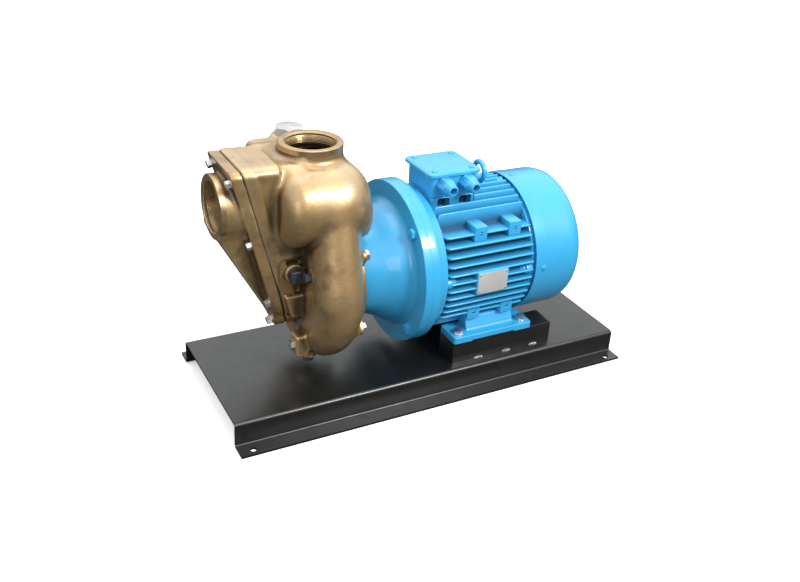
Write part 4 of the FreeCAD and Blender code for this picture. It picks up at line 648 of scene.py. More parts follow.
def outline_distance(outline: Array, margin: float = 90.0, pitch: float = 0.8
                     ) -> Callable[[Array, Array], Array]:
    """Signed distance to a closed outline, worked out once on a fine table.

    Args:
        outline: Points of the outline.
        margin: How far the table reaches past the outline.
        pitch: Spacing of the table.

    Returns:
        A function of two coordinates that reads the table between its four nearest points; the distance is
        to the nearest side and negative inside.
    """
    low, high = outline.min(axis=0) - margin, outline.max(axis=0) + margin
    one = np.arange(low[0], high[0], pitch)[:, None]
    two = np.arange(low[1], high[1], pitch)[None, :]
    best = np.full((one.size, two.size), 1e18)
    inside = np.zeros(best.shape, dtype=bool)
    for (ax, ay), (sx, sy) in zip(outline, np.roll(outline, -1, axis=0) - outline):
        px, py = one - ax, two - ay
        share = np.clip((px * sx + py * sy) / max(sx * sx + sy * sy, 1e-12), 0.0, 1.0)
        best = np.minimum(best, (px - share * sx) ** 2 + (py - share * sy) ** 2)
        if sy != 0.0:
            inside ^= ((ay > two) != (ay + sy > two)) & (px < sx * py / sy)
    table = np.where(inside, -1.0, 1.0) * np.sqrt(best)

    def distance(first: Array, second: Array) -> Array:
        """Returns: the distance at each pair of coordinates."""
        first, second = np.broadcast_arrays(first, second)
        u = np.clip((first - low[0]) / pitch, 0.0, table.shape[0] - 1.001)
        v = np.clip((second - low[1]) / pitch, 0.0, table.shape[1] - 1.001)
        i, j = u.astype(int), v.astype(int)
        u, v = u - i, v - j
        return ((table[i, j] * (1 - u) + table[i + 1, j] * u) * (1 - v)
                + (table[i, j + 1] * (1 - u) + table[i + 1, j + 1] * u) * v)

    return distance


def gradient(solid: DistanceField, points: Array, reach: float) -> Array:
    """Slope of a field at points.

    Args:
        solid: The field.
        points: Where to measure.
        reach: Half the span of the central differences.

    Returns:
        One vector per point.
    """
    slope = np.empty_like(points)
    for index in range(3):
        step = np.zeros(3)
        step[index] = reach
        ahead, behind = (points + step).T, (points - step).T
        slope[:, index] = (solid(*ahead) - solid(*behind)) / (2 * reach)
    return slope


def skin(solid: DistanceField, low: Sequence[float], high: Sequence[float], step: float, rounds: int = 3,
         outside: Optional[DistanceField] = None) -> Surface:
    """The surface of a distance field, by the surface-net rule.

    Every cell of a regular lattice whose corners differ in sign holds one vertex, and every lattice edge
    whose ends differ in sign holds one quad between the four cells round it. Each round then moves the
    vertices to the mean of their neighbours and back to the surface along the field's slope.

    Args:
        solid: The field, negative inside.
        low: Lowest corner of the lattice.
        high: Highest corner of the lattice.
        step: Size of a cell.
        rounds: Rounds of evening out.
        outside: The same solid without its passages, if the walls of those are to look unworn and dark
            with painted shade and the oxide that such walls have.

    Returns:
        The closed surface with shading normals from the field, and its relief: how much the field at six
        points five millimetres off exceeds the field at the vertex, for worn edges and painted shade in
        hollows, raised by a painted highlight where it faces up and lowered by painted shade where something
        lies close before it.
    """
    lines = [np.arange(a, b + step, step) for a, b in zip(low, high)]
    x, y, z = lines[0][:, None, None], lines[1][None, :, None], lines[2][None, None, :]
    inside = np.broadcast_to(solid(x, y, z), tuple(map(len, lines))) < 0.0
    count = np.zeros(tuple(len(line) - 1 for line in lines), dtype=np.int8)
    for i in (0, 1):
        for j in (0, 1):
            for k in (0, 1):
                count += inside[i:i + count.shape[0], j:j + count.shape[1], k:k + count.shape[2]]
    cells = (count > 0) & (count < 8)
    number = np.full(cells.shape, -1, dtype=np.int64)
    number[cells] = np.arange(np.count_nonzero(cells))
    where = np.argwhere(cells)
    points = np.stack([lines[i][where[:, i]] + step / 2 for i in range(3)], axis=-1)

    faces = []
    for axis in range(3):
        one, two = (axis + 1) % 3, (axis + 2) % 3
        ahead = np.take(inside, range(1, inside.shape[axis]), axis=axis)
        here = np.take(inside, range(0, inside.shape[axis] - 1), axis=axis)
        edge = np.argwhere(here != ahead)
        edge = edge[(edge[:, one] > 0) & (edge[:, two] > 0)
                    & (edge[:, one] < count.shape[one]) & (edge[:, two] < count.shape[two])]
        solid_here = here[tuple(edge.T)]
        corners = []
        for first, second in ((1, 1), (0, 1), (0, 0), (1, 0)):
            cell = edge.copy()
            cell[:, one] -= first
            cell[:, two] -= second
            corners.append(number[tuple(cell.T)])
        quad = np.stack(corners, axis=-1)
        faces.append(np.where(solid_here[:, None], quad, quad[:, ::-1]))
    quads = np.concatenate(faces)

    links = np.concatenate([quads[:, [i, (i + 1) % 4]] for i in range(4)])
    links = np.unique(np.sort(links, axis=1), axis=0)
    degree = np.bincount(links.ravel(), minlength=len(points))[:, None]
    for turn in range(rounds + 1):
        for _ in range(2):
            slope = gradient(solid, points, 0.3)
            steep = np.maximum(np.sum(slope * slope, axis=1), 0.2)
            move = -slope * (solid(*points.T) / steep)[:, None]
            size = np.linalg.norm(move, axis=1, keepdims=True)
            points = points + move * np.minimum(1.0, step / np.maximum(size, 1e-9))
        if turn < rounds:
            total = np.stack([
                np.bincount(links[:, 0], points[links[:, 1], i], len(points))
                + np.bincount(links[:, 1], points[links[:, 0], i], len(points)) for i in range(3)
            ], axis=-1)
            points = points * 0.4 + total / degree * 0.6
    normals = gradient(solid, points, 0.5)
    normals /= np.maximum(np.linalg.norm(normals, axis=1, keepdims=True), 1e-9)
    # Curvature: convex edges go above zero for wear, hollows below zero for painted shade.
    around = -6.0 * solid(*points.T)
    for offset in np.concatenate([np.eye(3), -np.eye(3)]) * BESIDE:
        around += solid(*(points + offset).T)
    # Painted shade where the field close before the vertex says something else lies near.
    occlusion_shade = 1.5 - solid(*(points + normals * NEAR).T) / NEAR - 0.5 * solid(*(points + normals * FAR).T) / FAR
    relief = np.clip(around / 6.0 * 0.75, -1.0, 1.0)
    # Painted highlight: faces that look up are made paler, as if lit by the sky.
    relief += np.clip(normals[:, 2] - 0.5, 0.0, 0.5)
    relief = np.maximum(relief - 1.5 * np.clip(occlusion_shade - 0.24, 0.0, 0.7), -1.0)
    # Walls of the passages get full painted shade, with the dark oxide that such walls have.
    if outside is not None:
        relief = np.where(outside(*points.T) < -3.0, -1.0, relief)
    return Surface(points, quads, [], normals, relief)


# Finishes


class Graph:
    """A material's node graph, with short ways to add to it."""

    def __init__(self, name: str) -> None:
        """Starts a material of that name with one shader.

        Args:
            name: The material's name.
        """
        self.material = bpy.data.materials.new(name)
        self.material.use_nodes = True
        self.tree = self.material.node_tree
        self.tree.nodes.clear()
        self.shader = self.tree.nodes.new("ShaderNodeBsdfPrincipled")
        output = self.tree.nodes.new("ShaderNodeOutputMaterial")
        self.tree.links.new(self.shader.outputs["BSDF"], output.inputs["Surface"])
        self.place = self.tree.nodes.new("ShaderNodeTexCoord").outputs["Object"]

    def put(self, socket: bpy.types.NodeSocket, value: object) -> None:
        """Sets a socket to a number or colour, or links it to another socket."""
        if isinstance(value, bpy.types.NodeSocket):
            self.tree.links.new(value, socket)
        else:
            socket.default_value = value

    def noise(self, scale: float, detail: float = 3.0, stretch: Optional[Sequence[float]] = None
              ) -> bpy.types.NodeSocket:
        """Noise over the object's own coordinates.

        Args:
            scale: Waves in a metre.
            detail: Layers of finer noise.
            stretch: Scale of each axis, or None for even noise.

        Returns:
            The noise value's socket.
        """
        source = self.place
        if stretch is not None:
            mapping = self.tree.nodes.new("ShaderNodeMapping")
            mapping.inputs["Scale"].default_value = tuple(stretch)
            self.put(mapping.inputs["Vector"], source)
            source = mapping.outputs["Vector"]
        node = self.tree.nodes.new("ShaderNodeTexNoise")
        node.inputs["Scale"].default_value = scale
        node.inputs["Detail"].default_value = detail
        self.put(node.inputs["Vector"], source)
        return node.outputs["Fac"]

    def attribute(self, name: str) -> bpy.types.NodeSocket:
        """Returns: the value of a mesh attribute, zero where a mesh has none."""
        node = self.tree.nodes.new("ShaderNodeAttribute")
        node.attribute_name = name
        return node.outputs["Fac"]

    def distance(self, centre: Sequence[float], share: Sequence[float]) -> bpy.types.NodeSocket:
        """Distance from a point, or from a line where one axis has no share.

        Args:
            centre: The point in metres.
            share: One for each axis that counts and zero for one that doesn't.

        Returns:
            The length of the shared part of position minus centre.
        """
        less = self.tree.nodes.new("ShaderNodeVectorMath")
        less.operation = "SUBTRACT"
        self.put(less.inputs[0], self.place)
        less.inputs[1].default_value = tuple(centre)
        times = self.tree.nodes.new("ShaderNodeVectorMath")
        times.operation = "MULTIPLY"
        self.put(times.inputs[0], less.outputs["Vector"])
        times.inputs[1].default_value = tuple(share)
        length = self.tree.nodes.new("ShaderNodeVectorMath")
        length.operation = "LENGTH"
        self.put(length.inputs[0], times.outputs["Vector"])
        return length.outputs["Value"]

    def span(self, source: bpy.types.NodeSocket, a: float, b: float, c: float, d: float
             ) -> bpy.types.NodeSocket:
        """Maps a value from the range a to b onto the range c to d, kept inside it."""
        node = self.tree.nodes.new("ShaderNodeMapRange")
        for name, value in zip(("Value", "From Min", "From Max", "To Min", "To Max"), (source, a, b, c, d)):
            self.put(node.inputs[name], value)
        return node.outputs["Result"]

    def mix(self, share: object, first: object, second: object) -> bpy.types.NodeSocket:
        """Mixes two colours by a share."""
        node = self.tree.nodes.new("ShaderNodeMix")
        node.data_type = "RGBA"
        self.put(node.inputs[0], share)
        self.put(node.inputs[6], first)
        self.put(node.inputs[7], second)
        return node.outputs[2]

    def bump(self, *layers: tuple[bpy.types.NodeSocket, float, float]) -> None:
        """Adds bump layers, each a height, a strength and a depth in metres."""
        normal = None
        for height, strength, depth in layers:
            node = self.tree.nodes.new("ShaderNodeBump")
            node.inputs["Strength"].default_value = strength
            node.inputs["Distance"].default_value = depth
            self.put(node.inputs["Height"], height)
            if normal is not None:
                self.put(node.inputs["Normal"], normal)
            normal = node.outputs["Normal"]
        self.put(self.shader.inputs["Normal"], normal)

    def shade(self, **values: object) -> None:
        """Sets the shader's sockets; underscores in the names stand for spaces."""
        for name, value in values.items():
            self.put(self.shader.inputs[name.replace("_", " ")], value)


Colour = tuple[float, float, float]


@dataclass(frozen=True)
class Finish:
    """A plain finish with a little life in its colour, gloss and surface, and painted shade in hollows and
    bores.

    Args:
        name: Name of the material.
        slot: The record's material slot; not used.
        colour: Main colour.
        second: Colour that it drifts towards.
        metallic: Share of metal.
        roughness: Mean roughness.
        drift: Scale of the colour's drift.
        grain: Scale of the surface grain.
        grain_depth: Depth of the grain in metres.
        coat: Weight of a clear coat.
        coat_roughness: Roughness of that coat.
        hollow: How far painted shade darkens it in hollows and bores.
    """

    name: str
    slot: str
    colour: Colour
    second: Colour
    metallic: float = 0.0
    roughness: float = 0.5
    drift: float = 20.0
    grain: float = 900.0
    grain_depth: float = 0.00002
    coat: float = 0.0
    coat_roughness: float = 0.06
    hollow: float = 0.3

    def drifting(self, graph: Graph) -> bpy.types.NodeSocket:
        """Returns: the main colour, drifting towards the second one."""
        share = graph.span(graph.noise(self.drift, 4.0), 0.35, 0.65, 0.0, 1.0)
        return graph.mix(share, (*self.colour, 1.0), (*self.second, 1.0))

    def make(self) -> bpy.types.Material:
        """Returns: the finished material."""
        graph = Graph(self.name)
        colour = self.drifting(graph)
        # Painted shade: darker brown where the relief says hollow, bore or close neighbour.
        colour = graph.mix(graph.span(graph.attribute("relief"), -0.1, -0.9, 0.0, self.hollow), colour,
                           (0.035, 0.024, 0.013, 1.0))
        rough = graph.span(graph.noise(self.drift * 2.3, 3.0), 0.3, 0.7, self.roughness * 0.85,
                           min(self.roughness * 1.15, 1.0))
        graph.shade(Base_Color=colour, Metallic=self.metallic, Roughness=rough, Coat_Weight=self.coat,
                    Coat_Roughness=self.coat_roughness)
        graph.bump((graph.noise(self.grain, 2.0), 0.5, self.grain_depth))
        return graph.material


@dataclass(frozen=True)
class CastBronze(Finish):
    """Sand-cast bronze: satin metal with fine sand grain and soft lumps, paler rubbed edges with a painted
    highlight on up-facing faces, and painted shade in hollows, bores and under close parts.
    """

    def make(self) -> bpy.types.Material:
        """Returns: the finished material."""
        graph = Graph(self.name)
        share = graph.span(graph.noise(11.0, 5.0), 0.3, 0.7, 0.0, 1.0)
        colour = graph.mix(share, (*self.colour, 1.0), (*self.second, 1.0))
        stain = graph.span(graph.noise(34.0, 8.0), 0.50, 0.66, 0.0, 0.55)
        colour = graph.mix(stain, colour, (0.20, 0.135, 0.075, 1.0))
        grey = graph.span(graph.noise(17.0, 4.0, (1.0, 1.0, 0.6)), 0.55, 0.72, 0.0, 0.35)
        colour = graph.mix(grey, colour, (0.36, 0.31, 0.235, 1.0))
        fleck = graph.span(graph.noise(460.0, 2.0), 0.62, 0.74, 0.0, 0.35)
        colour = graph.mix(fleck, colour, (0.72, 0.56, 0.38, 1.0))
        pit = graph.span(graph.noise(150.0, 3.0), 0.68, 0.75, 0.0, 0.5)
        colour = graph.mix(pit, colour, (0.10, 0.06, 0.03, 1.0))
        relief = graph.attribute("relief")
        # Paler where the relief is high: rubbed edges, and a painted highlight on faces that look up.
        colour = graph.mix(graph.span(relief, 0.16, 0.75, 0.0, 0.5), colour, (0.74, 0.58, 0.37, 1.0))
        # Dark where the relief is low: painted shade in hollows, bores and under close parts, with oxide in
        # the passages.
        colour = graph.mix(graph.span(relief, -0.15, -0.9, 0.0, 0.86), colour, (0.085, 0.052, 0.026, 1.0))
        rough = graph.span(graph.noise(26.0, 5.0), 0.3, 0.7, self.roughness - 0.08, self.roughness + 0.1)
        graph.shade(Base_Color=colour, Metallic=self.metallic, Roughness=rough, Coat_Weight=self.coat,
                    Coat_Roughness=0.24)
        graph.bump((graph.noise(34.0, 3.0), 0.35, 0.0016), (graph.noise(170.0, 4.0), 0.5, 0.0005),
                   (graph.noise(1100.0, 3.0), 0.5, self.grain_depth))
        return graph.material


@dataclass(frozen=True)
class FinPaint(Finish):
    """Paint of the finned frame, duller and darker with painted shade towards the roots of the fins.

    Args:
        root: Radius from the shaft in metres where the painted shade is darkest.
        clear: Radius from the shaft where the painted shade ends.
    """

    root: float = 0.115
    clear: float = 0.1325

    def make(self) -> bpy.types.Material:
        """Returns: the finished material."""
        graph = Graph(self.name)
        colour = self.drifting(graph)
        away = graph.distance((0.0, 0.0, SHAFT * MM), (0.0, 1.0, 1.0))
        # Painted shade between the fins, darkest at their roots.
        painted_root_shade = graph.span(away, self.root, self.clear, 0.86, 0.0)
        colour = graph.mix(painted_root_shade, colour, (0.004, 0.05, 0.12, 1.0))
        rough = graph.span(away, self.root, self.clear, 0.6, self.roughness)
        graph.shade(Base_Color=colour, Metallic=self.metallic, Roughness=rough, Coat_Weight=self.coat,
                    Coat_Roughness=0.08)
        graph.bump((graph.noise(self.grain, 2.0), 0.5, self.grain_depth))
        return graph.material


# The motor's blue and the shade that it drifts towards.
SKY_BLUE = ((0.042, 0.385, 0.71), (0.036, 0.36, 0.68))


class Look(Enum):
    """All finishes of the set."""

    BRONZE = CastBronze("cast_bronze", "bronze", (0.51, 0.345, 0.162), (0.385, 0.25, 0.108), 0.68, 0.41,
                        grain_depth=0.00028, coat=0.6)
    # Machined bronze, with strong painted shade down its bores.
    MACHINED = Finish("machined_bronze", "bronze", (0.62, 0.45, 0.25), (0.50, 0.35, 0.185), 0.9, 0.29, 60.0,
                      1500.0, 0.00002, hollow=0.85)
    BLUE = Finish("sky_blue_paint", "blue_paint", *SKY_BLUE, 0.0, 0.33, 12.0, 240.0, 0.00008, 0.5)
    FINS = FinPaint("fin_blue_paint", "blue_paint", *SKY_BLUE, 0.0, 0.33, 12.0, 240.0, 0.00008, 0.5)
    # Near-black blue for sheets that stand for the painted shade in the pedestal's windows.
    SHADED = Finish("painted_shade_blue_paint", "blue_paint", (0.006, 0.045, 0.085), (0.004, 0.025, 0.05), 0.0, 0.55)
    BLACK = Finish("black_paint", "black_paint", (0.0085, 0.009, 0.0085), (0.006, 0.0065, 0.006), 0.0, 0.33,
                   14.0, 500.0, 0.000006, 0.45, 0.27)
    ZINC = Finish("bright_zinc", "zinc", (0.78, 0.78, 0.77), (0.66, 0.67, 0.67), 0.95, 0.24, 90.0)
    WELD = Finish("weld_metal", "steel", (0.62, 0.61, 0.58), (0.18, 0.175, 0.17), 0.85, 0.27, 420.0, 700.0,
                  0.0003)
    SLATE = Finish("dark_slate_steel", "dark_steel", (0.085, 0.095, 0.105), (0.055, 0.062, 0.07), 0.55, 0.38,
                   80.0)
    STEEL = Finish("ground_steel", "steel", (0.56, 0.56, 0.55), (0.48, 0.48, 0.48), 1.0, 0.28, 60.0)
    GASKET = Finish("black_gasket", "gasket", (0.012, 0.016, 0.014), (0.02, 0.024, 0.022), 0.0, 0.7, 60.0)
    PLUG = Finish("pale_plug", "plug_plastic", (0.47, 0.485, 0.465), (0.38, 0.395, 0.38), 0.15, 0.42, 60.0)
    GRAPHITE = Finish("graphite", "graphite", (0.05, 0.05, 0.055), (0.07, 0.07, 0.075), 0.2, 0.4)
    CERAMIC = Finish("ceramic", "ceramic", (0.82, 0.81, 0.77), (0.78, 0.77, 0.74), 0.0, 0.25)
    LAMINATION = Finish("lamination", "lamination", (0.26, 0.27, 0.28), (0.2, 0.21, 0.22), 0.9, 0.45)
    COPPER = Finish("varnished_copper", "copper", (0.5, 0.17, 0.06), (0.4, 0.12, 0.045), 0.7, 0.35, coat=0.4)
    FAN = Finish("black_fan", "fan_plastic", (0.022, 0.022, 0.025), (0.03, 0.03, 0.032), 0.0, 0.5)
    NAMEPLATE = Finish("bare_nameplate", "nameplate", (0.56, 0.57, 0.55), (0.51, 0.52, 0.50), 0.2, 0.34)


_MADE: dict[Look, bpy.types.Material] = {}


def paint(obj: bpy.types.Object, look: Look) -> None:
    """Gives an object one finish.

    Args:
        obj: The object.
        look: The finish.
    """
    if look not in _MADE:
        _MADE[look] = look.value.make()
    obj.data.materials.clear()
    obj.data.materials.append(_MADE[look])


def finish_piece(surface: Surface, name: str, look: Look, nodes: Sequence[str] = ()) -> None:
    """Builds a surface, paints it, and lets it ride on the set and stand for frame nodes.

    Args:
        surface: The computed surface.
        name: Name of the piece.
        look: Its finish.
        nodes: Frame nodes that it stands for.
    """
    obj = surface.build(name)
    paint(obj, look)
    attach(obj, CARRIER)
    if nodes:
        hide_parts(*nodes)


# The pump


@dataclass
class Joint:
    """The tilted joint between casing and suction cover, and the outline that both share."""

    front: float = -341.5
    level: float = 223.5
    top: float = 230.0
    tilt: float = 16.0
    gasket: float = 2.0
    thickness: float = 18.5
    toe: float = 27.0
    bottom: float = -84.0
    waist: float = 46.0
    waist_height: float = 19.0
    wide: float = 61.0
    corner: float = 12.0
    flank: float = 160.0

    def station(self, height: Array | float) -> Array | float:
        """Returns: the joint's station along X at a height above the shaft."""
        return self.front + (self.level - height) * math.tan(math.radians(self.tilt))

    def depth(self, x: Array, height: Array) -> Array:
        """Returns: distance square to the joint, positive on the cover's side."""
        angle = math.radians(self.tilt)
        return -((x - self.front) * math.cos(angle) + (height - self.level) * math.sin(angle))

    def outline(self) -> Array:
        """Returns: the outline across and up from the shaft, anticlockwise."""
        low = self.bottom + self.toe
        right = np.concatenate([
            arc((0.0, self.bottom), (self.toe, low), self.toe, 12),
            arc((self.toe, low), (self.waist, self.waist_height), self.flank, 10),
            np.array([[self.waist, self.waist_height]]),
            arc((self.wide, self.top - self.corner), (self.wide - self.corner, self.top), self.corner, 8),
            np.array([[self.wide - self.corner, self.top]]),
        ])
        left = right[1:][::-1] * np.array([-1.0, 1.0])
        return np.concatenate([right, left])

    def rim_ring(self, stations: Sequence[tuple[float, float]]) -> Surface:
        """A closed ring that follows the shared outline.

        Args:
            stations: Offset along X and inset of each line of the ring's section.

        Returns:
            The closed surface.
        """
        level, draw_in = np.array(stations).T
        flat = inset(self.outline(), draw_in)
        x = self.station(flat[..., 1]) + level[:, None]
        return grid(np.stack([x, flat[..., 0], flat[..., 1] + SHAFT], axis=-1), closed=True)

    def tilted(self, surface: Surface, across: float, height: float, lift: float = 0.0) -> Surface:
        """A piece made along -X from the origin, set square on the cover's front face.

        Args:
            surface: The piece.
            across: Its place across.
            height: Its height above the shaft.
            lift: How far it stands off the face.

        Returns:
            The placed piece.
        """
        angle = math.radians(self.tilt)
        x = self.station(height) - self.gasket - self.thickness
        return surface.turned(Axis.Y, -self.tilt).moved(x - lift * math.cos(angle), across,
                                                        SHAFT + height - lift * math.sin(angle))


@dataclass(frozen=True)
class PlugPlaces:
    """Where the casing's plugs and its lug bolt sit, each by the two coordinates across its own axis.

    Args:
        priming: Station and place across, under the upright plug.
        side: Station and height above the shaft.
        vent: Place across and height above the shaft.
        drain: Station and place across.
        lug: Place across and height above the shaft.
    """

    priming: tuple[float, float] = (-212.0, 80.0)
    side: tuple[float, float] = (-254.0, 36.0)
    vent: tuple[float, float] = (-84.0, 41.0)
    drain: tuple[float, float] = (-212.0, -14.0)
    lug: tuple[float, float] = (-52.0, -103.0)


@dataclass
class PumpCasing:
    """The bronze casing: priming tank, volute, neck, suction chamber and bosses, cast in one."""

    joint: Joint
    plugs: PlugPlaces
    step: float = 2.9
    tank: tuple[float, float] = (-286.0, -121.0)
    tank_level: float = 155.0
    tank_radius: float = 70.0
    tank_flat: float = 40.0
    tank_edge: float = 34.0
    tank_shoulder: float = 62.0
    tank_foot: float = 24.0
    volute_station: float = -195.0
    volute_half: float = 42.0
    volute_rim: float = 105.0
    wall: float = 9.0
    arch: float = 125.0
    port: tuple[float, float] = (-206.0, 0.0)
    port_outer: float = 54.5
    port_bore: float = 42.4
    port_top: float = 470.0

    def __post_init__(self) -> None:
        """Works out the distance tables of the two outlines."""
        self.cover = outline_distance(self.joint.outline())
        self.rim = outline_distance(self.rim_path())

    def rim_path(self) -> Array:
        """Middle line of the volute's round rim, drawn across the shaft.

        Returns:
            The rim's circle below, and its two tangents up to the sides of the tank.
        """
        shoulder = np.array([self.tank_flat + self.tank_radius - self.volute_half, self.tank_level])
        lean = math.acos(self.volute_rim / float(np.linalg.norm(shoulder)))
        first = math.atan2(shoulder[1], shoulder[0]) - lean
        t = np.linspace(math.pi - first, 2 * math.pi + first, 61)
        circle = self.volute_rim * np.stack([np.cos(t), np.sin(t)], axis=-1)
        return np.concatenate([circle, [shoulder, shoulder * np.array([-1.0, 1.0])]])

    def tank_section(self, y: Array, height: Array) -> Array:
        """Returns: distance to the tank's outline, a level bar with round ends, drawn across the shaft."""
        across = np.maximum(np.abs(y) - self.tank_flat, 0.0)
        return np.hypot(across, height - self.tank_level) - self.tank_radius

    def outer(self, x: Array, y: Array, z: Array) -> Array:
        """The outside of the casting as a distance field.

        Args:
            x: Stations.
            y: Places across.
            z: Heights from the floor.

        Returns:
            Tank, chamber, neck, volute and bosses blended into each other.
        """
        height = z - SHAFT
        section = self.tank_section(y, height)
        front = rounded_and(self.tank_edge, section, self.tank[0] - x)
        turn = [self.tank_level - 55.0, self.tank_level + 10.0]
        rear_edge = np.interp(height, turn, [self.tank_foot, self.tank_shoulder])
        rear = rounded_and(rear_edge, section, x - self.tank[1])
        body = np.where(x < (self.tank[0] + self.tank[1]) / 2 - 12.0, front, rear)
        hump = rounded_and(16.0, np.abs(x + 257.0) - 34.0, np.abs(y - 64.0) - 29.0, z - 452.5, 400.0 - z)
        body = blend(body, hump, 16.0)
        face = self.joint.depth(x, height)
        outline = self.cover(y, height)
        back = self.volute_station - self.volute_half
        chamber = rounded_and(2.5, outline + 0.15, face + 1.0, x - (back - 46.0))
        body = blend(body, chamber, 13.0)
        bridge = rounded_and(9.0, np.abs(y) - 52.0, height - 227.5, 60.0 - height, x + 236.0, face + 6.0)
        body = blend(body, bridge, 15.0)
        flange = rounded_and(2.0, outline + 0.15, face + 1.0, -face - 17.0, x - (back + 4.0))
        volute = np.hypot(x - self.volute_station, np.maximum(self.rim(y, height), 0.0)) - self.volute_half
        section = rounded_and(28.0, np.abs(y) - 36.0, -(height + 62.0))
        neck = rounded_and(4.0, section, face + 4.0, x - (back + 3.0), height - 109.0)
        ledge = rounded_and(3.0, np.abs(x + 264.0) - 26.0, np.abs(y) - 50.5, np.abs(height + 30.0) - 21.0,
                            face + 6.0)
        body = blend(body, volute, 8.0)
        body = blend(body, blend(flange, blend(neck, ledge, 4.0), 6.0), 7.0)
        around = beside(self.port, x, y)
        mouth = rounded_and(2.0, around - self.port_outer + 0.25, z - self.port_top + 1.2, 400.0 - z)
        body = blend(body, mouth, 12.0)
        boss = rounded_and(3.0, beside(self.plugs.priming, x, y) - 31.0, z - 456.0, 400.0 - z)
        body = blend(body, boss, 10.0)
        side = rounded_and(2.0, beside(self.plugs.side, x, height) - 17.0, -(y + 55.0), y + 35.0)
        body = blend(body, side, 4.0)
        vent = rounded_and(1.5, beside(self.plugs.vent, y, height) - 12.0, -(x + 237.0), x + 222.0)
        body = blend(body, vent, 6.0)
        lug = rounded_and(4.0, np.abs(x + 244.0) - 12.0, np.abs(y + 55.0) - 15.0,
                          np.abs(height + 101.0) - 20.0)
        body = blend(body, lug, 9.0)
        stub = rounded_and(2.0, np.hypot(y + 40.0, height + 56.0) - 6.5, np.abs(x + 268.0) - 12.0, face + 6.0)
        body = blend(body, stub, 3.0)
        drain = rounded_and(2.0, beside(self.plugs.drain, x, y) - 16.0, -(height + 155.0), height + 115.0)
        body = blend(body, drain, 8.0)
        for index in range(5):
            angle = math.radians(72.0 * index)
            ear_middle = (EAR_CIRCLE * math.cos(angle), EAR_CIRCLE * math.sin(angle))
            ear = rounded_and(1.5, beside(ear_middle, y, height) - 12.0, np.abs(x + 164.0) - 11.0)
            body = blend(body, ear, 8.0)
        space = rounded_and(3.0, np.hypot(y, height) - self.arch, -(x + 153.0))
        return carve(body, space, 3.0)

    def solid(self, x: Array, y: Array, z: Array) -> Array:
        """The casting with its water passages.

        Args:
            x: Stations.
            y: Places across.
            z: Heights from the floor.

        Returns:
            The distance field.
        """
        height = z - SHAFT
        body = self.outer(x, y, z)
        radius = np.hypot(y, height)
        section = self.tank_section(y, height)
        wall_front = self.volute_station - self.volute_half + 3.0
        room = rounded_and(40.0, section + self.wall, wall_front - x, x - self.tank[1] + self.wall + 3.0)
        keep = rounded_and(6.0, radius - self.arch - self.wall - 5.0, -(x + 167.0))
        coil = np.hypot(x - self.volute_station, np.maximum(radius - self.volute_rim, 0.0))
        keep = np.minimum(keep, coil - self.volute_half)
        room = carve(room, keep, 4.0)
        whirl = np.minimum(coil - 33.0, rounded_and(0.5, radius - 111.2, self.volute_station - x, x + 150.0))
        face = self.joint.depth(x, height)
        outline = self.cover(y, height)
        inlet = rounded_and(6.0, outline + 13.0, face - 12.0, x + 286.0)
        eye = rounded_and(2.0, radius - 28.0, np.abs(x + 258.0) - 34.0)
        away = beside(self.port, x, y)
        bore = rounded_and(0.5, away - 46.5, 440.0 - z)
        bore = np.minimum(bore, rounded_and(3.0, away - 52.0, 425.0 - z, z - 448.5))
        space = np.minimum(np.minimum(room, whirl), np.minimum(blend(inlet, eye, 4.0), bore))
        return carve(body, space, 1.5)

    def build(self) -> None:
        """Builds the casting, its crisp joint flange and its machined discharge port."""
        body = skin(self.solid, (-347.0, -153.0, 60.0), (-112.0, 164.0, 476.0), self.step, outside=self.outer)
        LOG.info("pump casing: %d faces", len(body.quads))
        finish_piece(body, "casing_casting", Look.BRONZE, ["pump_casing"])
        lip = self.joint.rim_ring([(3.0, 9.0), (1.1, 8.0), (1.1, 0.4), (1.25, 0.1), (1.6, 0.0), (24.0, 0.0),
                                   (26.0, 1.0), (26.0, 6.0)])
        finish_piece(lip, "casing_joint_lip", Look.BRONZE)
        face = (*self.port, self.port_top)
        port = threaded_ring(self.port_outer, self.port_bore, 22.0, 10.0, face, Axis.Z, -1)
        finish_piece(port, "discharge_port_mouth", Look.MACHINED)


